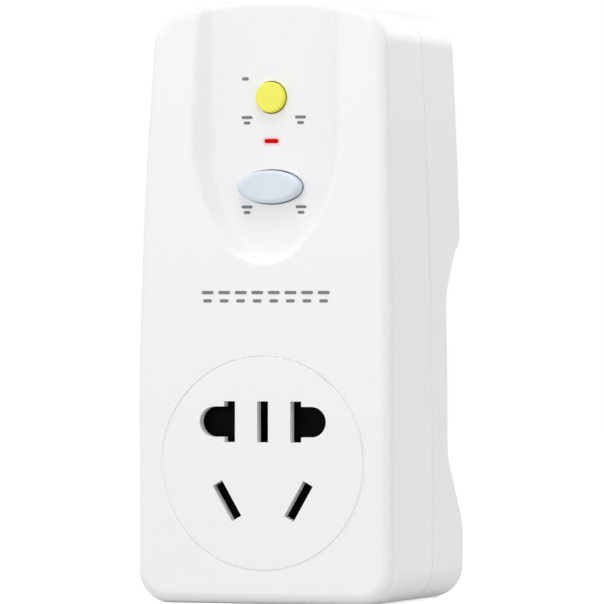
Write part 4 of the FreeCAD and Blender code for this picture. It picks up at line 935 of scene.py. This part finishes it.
class ADAPTOR_OT_stage(AdaptorOperator, bpy.types.Operator):
    """Set the floor, the lights, the white background and the camera"""

    bl_idname = "adaptor.stage"
    bl_label = "Stage"

    def execute(self, context):
        studio = context.scene.adaptor_studio
        make_floor(studio)
        make_lights()
        make_world(studio)
        make_camera(studio)
        return {"FINISHED"}


def background_rays(graph):
    """1 where the background is seen: straight, in a reflection or through something clear."""
    straight, mirrored, through = (graph.add("ShaderNodeLightPath", output=name) for name in (
        "Is Camera Ray", "Is Glossy Ray", "Is Transmission Ray"))
    return graph.maths("MINIMUM", straight + mirrored + through, 1.0)


def make_floor(studio):
    """Pale paper that is as bright as the white behind it, less the shade of the object."""
    mesh = bpy.data.meshes.new("floor")
    build = bmesh.new()
    bmesh.ops.create_grid(build, x_segments=4, y_segments=4, size=FLOOR_HALF)
    build.to_mesh(mesh)
    build.free()
    floor = link("floor", mesh)
    material, graph = new_material("floor_paper")
    paper = graph.noise(1200.0, 3.0)
    matt = graph.add("ShaderNodeBsdfDiffuse", None, {
        "Color": graph.mix(paper, shaded(WHITE, 0.6), shaded(WHITE, 0.63))})
    missing_light = 1.02 - 0.6 * studio.room
    glow = graph.add("ShaderNodeEmission", None, {
        "Color": WHITE, "Strength": background_rays(graph) * missing_light})
    close_surface(graph, graph.add("ShaderNodeAddShader", None, {0: matt, 1: glow}))
    mesh.materials.append(material)


def make_lights():
    """Round soft lamps that all look at the middle of the housing."""
    for name, place, size, power in LAMPS:
        lamp = bpy.data.lights.new(name, "AREA")
        lamp.shape = "DISK"
        lamp.size = size
        lamp.energy = power
        item = bpy.data.objects.new(name, lamp)
        item.location = place
        item.rotation_euler = (LIT_PLACE - place).to_track_quat("-Z", "Y").to_euler()
        bpy.context.scene.collection.objects.link(item)


def make_world(studio):
    """Even light from all sides, with plain white where it is seen."""
    world = bpy.data.worlds.new("studio")
    bpy.context.scene.world = world
    world.use_nodes = True
    graph = Graph(world.node_tree)
    even = graph.add("ShaderNodeBackground", None, {"Color": WHITE, "Strength": studio.room})
    white = graph.add("ShaderNodeBackground", None, {"Color": WHITE, "Strength": 1.0})
    shown = graph.add("ShaderNodeMixShader", None, {0: background_rays(graph), 1: even, 2: white})
    graph.add("ShaderNodeOutputWorld", None, {"Surface": shown})


def make_camera(studio):
    """Level camera that looks at the housing's upright middle line."""
    data = bpy.data.cameras.new("camera")
    data.lens = studio.lens
    data.sensor_width = FILM_WIDTH
    data.clip_start = 0.01
    data.clip_end = 10.0
    item = bpy.data.objects.new("camera", data)
    bpy.context.scene.collection.objects.link(item)
    back = Vector((math.sin(studio.azimuth), -math.cos(studio.azimuth), 0.0))
    item.location = back * studio.distance + Vector((0.0, 0.0, studio.height))
    item.rotation_euler = (-back).to_track_quat("-Z", "Y").to_euler()
    bpy.context.scene.camera = item
    bpy.context.scene.view_settings.view_transform = "Standard"


OPERATORS = (ADAPTOR_OT_nodes, ADAPTOR_OT_housing, ADAPTOR_OT_buttons, ADAPTOR_OT_marks,
             ADAPTOR_OT_coils, ADAPTOR_OT_screws, ADAPTOR_OT_inside, ADAPTOR_OT_stage)


class ADAPTOR_PT_panel(bpy.types.Panel):
    """Lists the adaptor's settings and operators"""

    bl_idname = "ADAPTOR_PT_panel"
    bl_label = "Residual current adaptor"
    bl_space_type = "VIEW_3D"
    bl_region_type = "UI"
    bl_category = "Adaptor"

    def draw(self, context):
        for settings in (context.scene.adaptor_finish, context.scene.adaptor_studio):
            box = self.layout.box()
            for name in settings.__annotations__:
                box.prop(settings, name)
        for operator in OPERATORS:
            self.layout.operator(operator.bl_idname)


CLASSES = (FinishSettings, StudioSettings, *OPERATORS, ADAPTOR_PT_panel)


def register():
    for item in CLASSES:
        bpy.utils.register_class(item)
    bpy.types.Scene.adaptor_finish = bpy.props.PointerProperty(type=FinishSettings)
    bpy.types.Scene.adaptor_studio = bpy.props.PointerProperty(type=StudioSettings)


def unregister():
    del bpy.types.Scene.adaptor_studio
    del bpy.types.Scene.adaptor_finish
    for item in reversed(CLASSES):
        bpy.utils.unregister_class(item)


def main():
    register()
    mix_palette(bpy.context.scene.adaptor_finish)
    bpy.ops.adaptor.nodes()
    bpy.ops.adaptor.housing()
    bpy.ops.adaptor.buttons()
    bpy.ops.adaptor.marks()
    bpy.ops.adaptor.coils()
    bpy.ops.adaptor.screws()
    bpy.ops.adaptor.inside()
    bpy.ops.adaptor.stage()


if __name__ == "__main__":
    main()
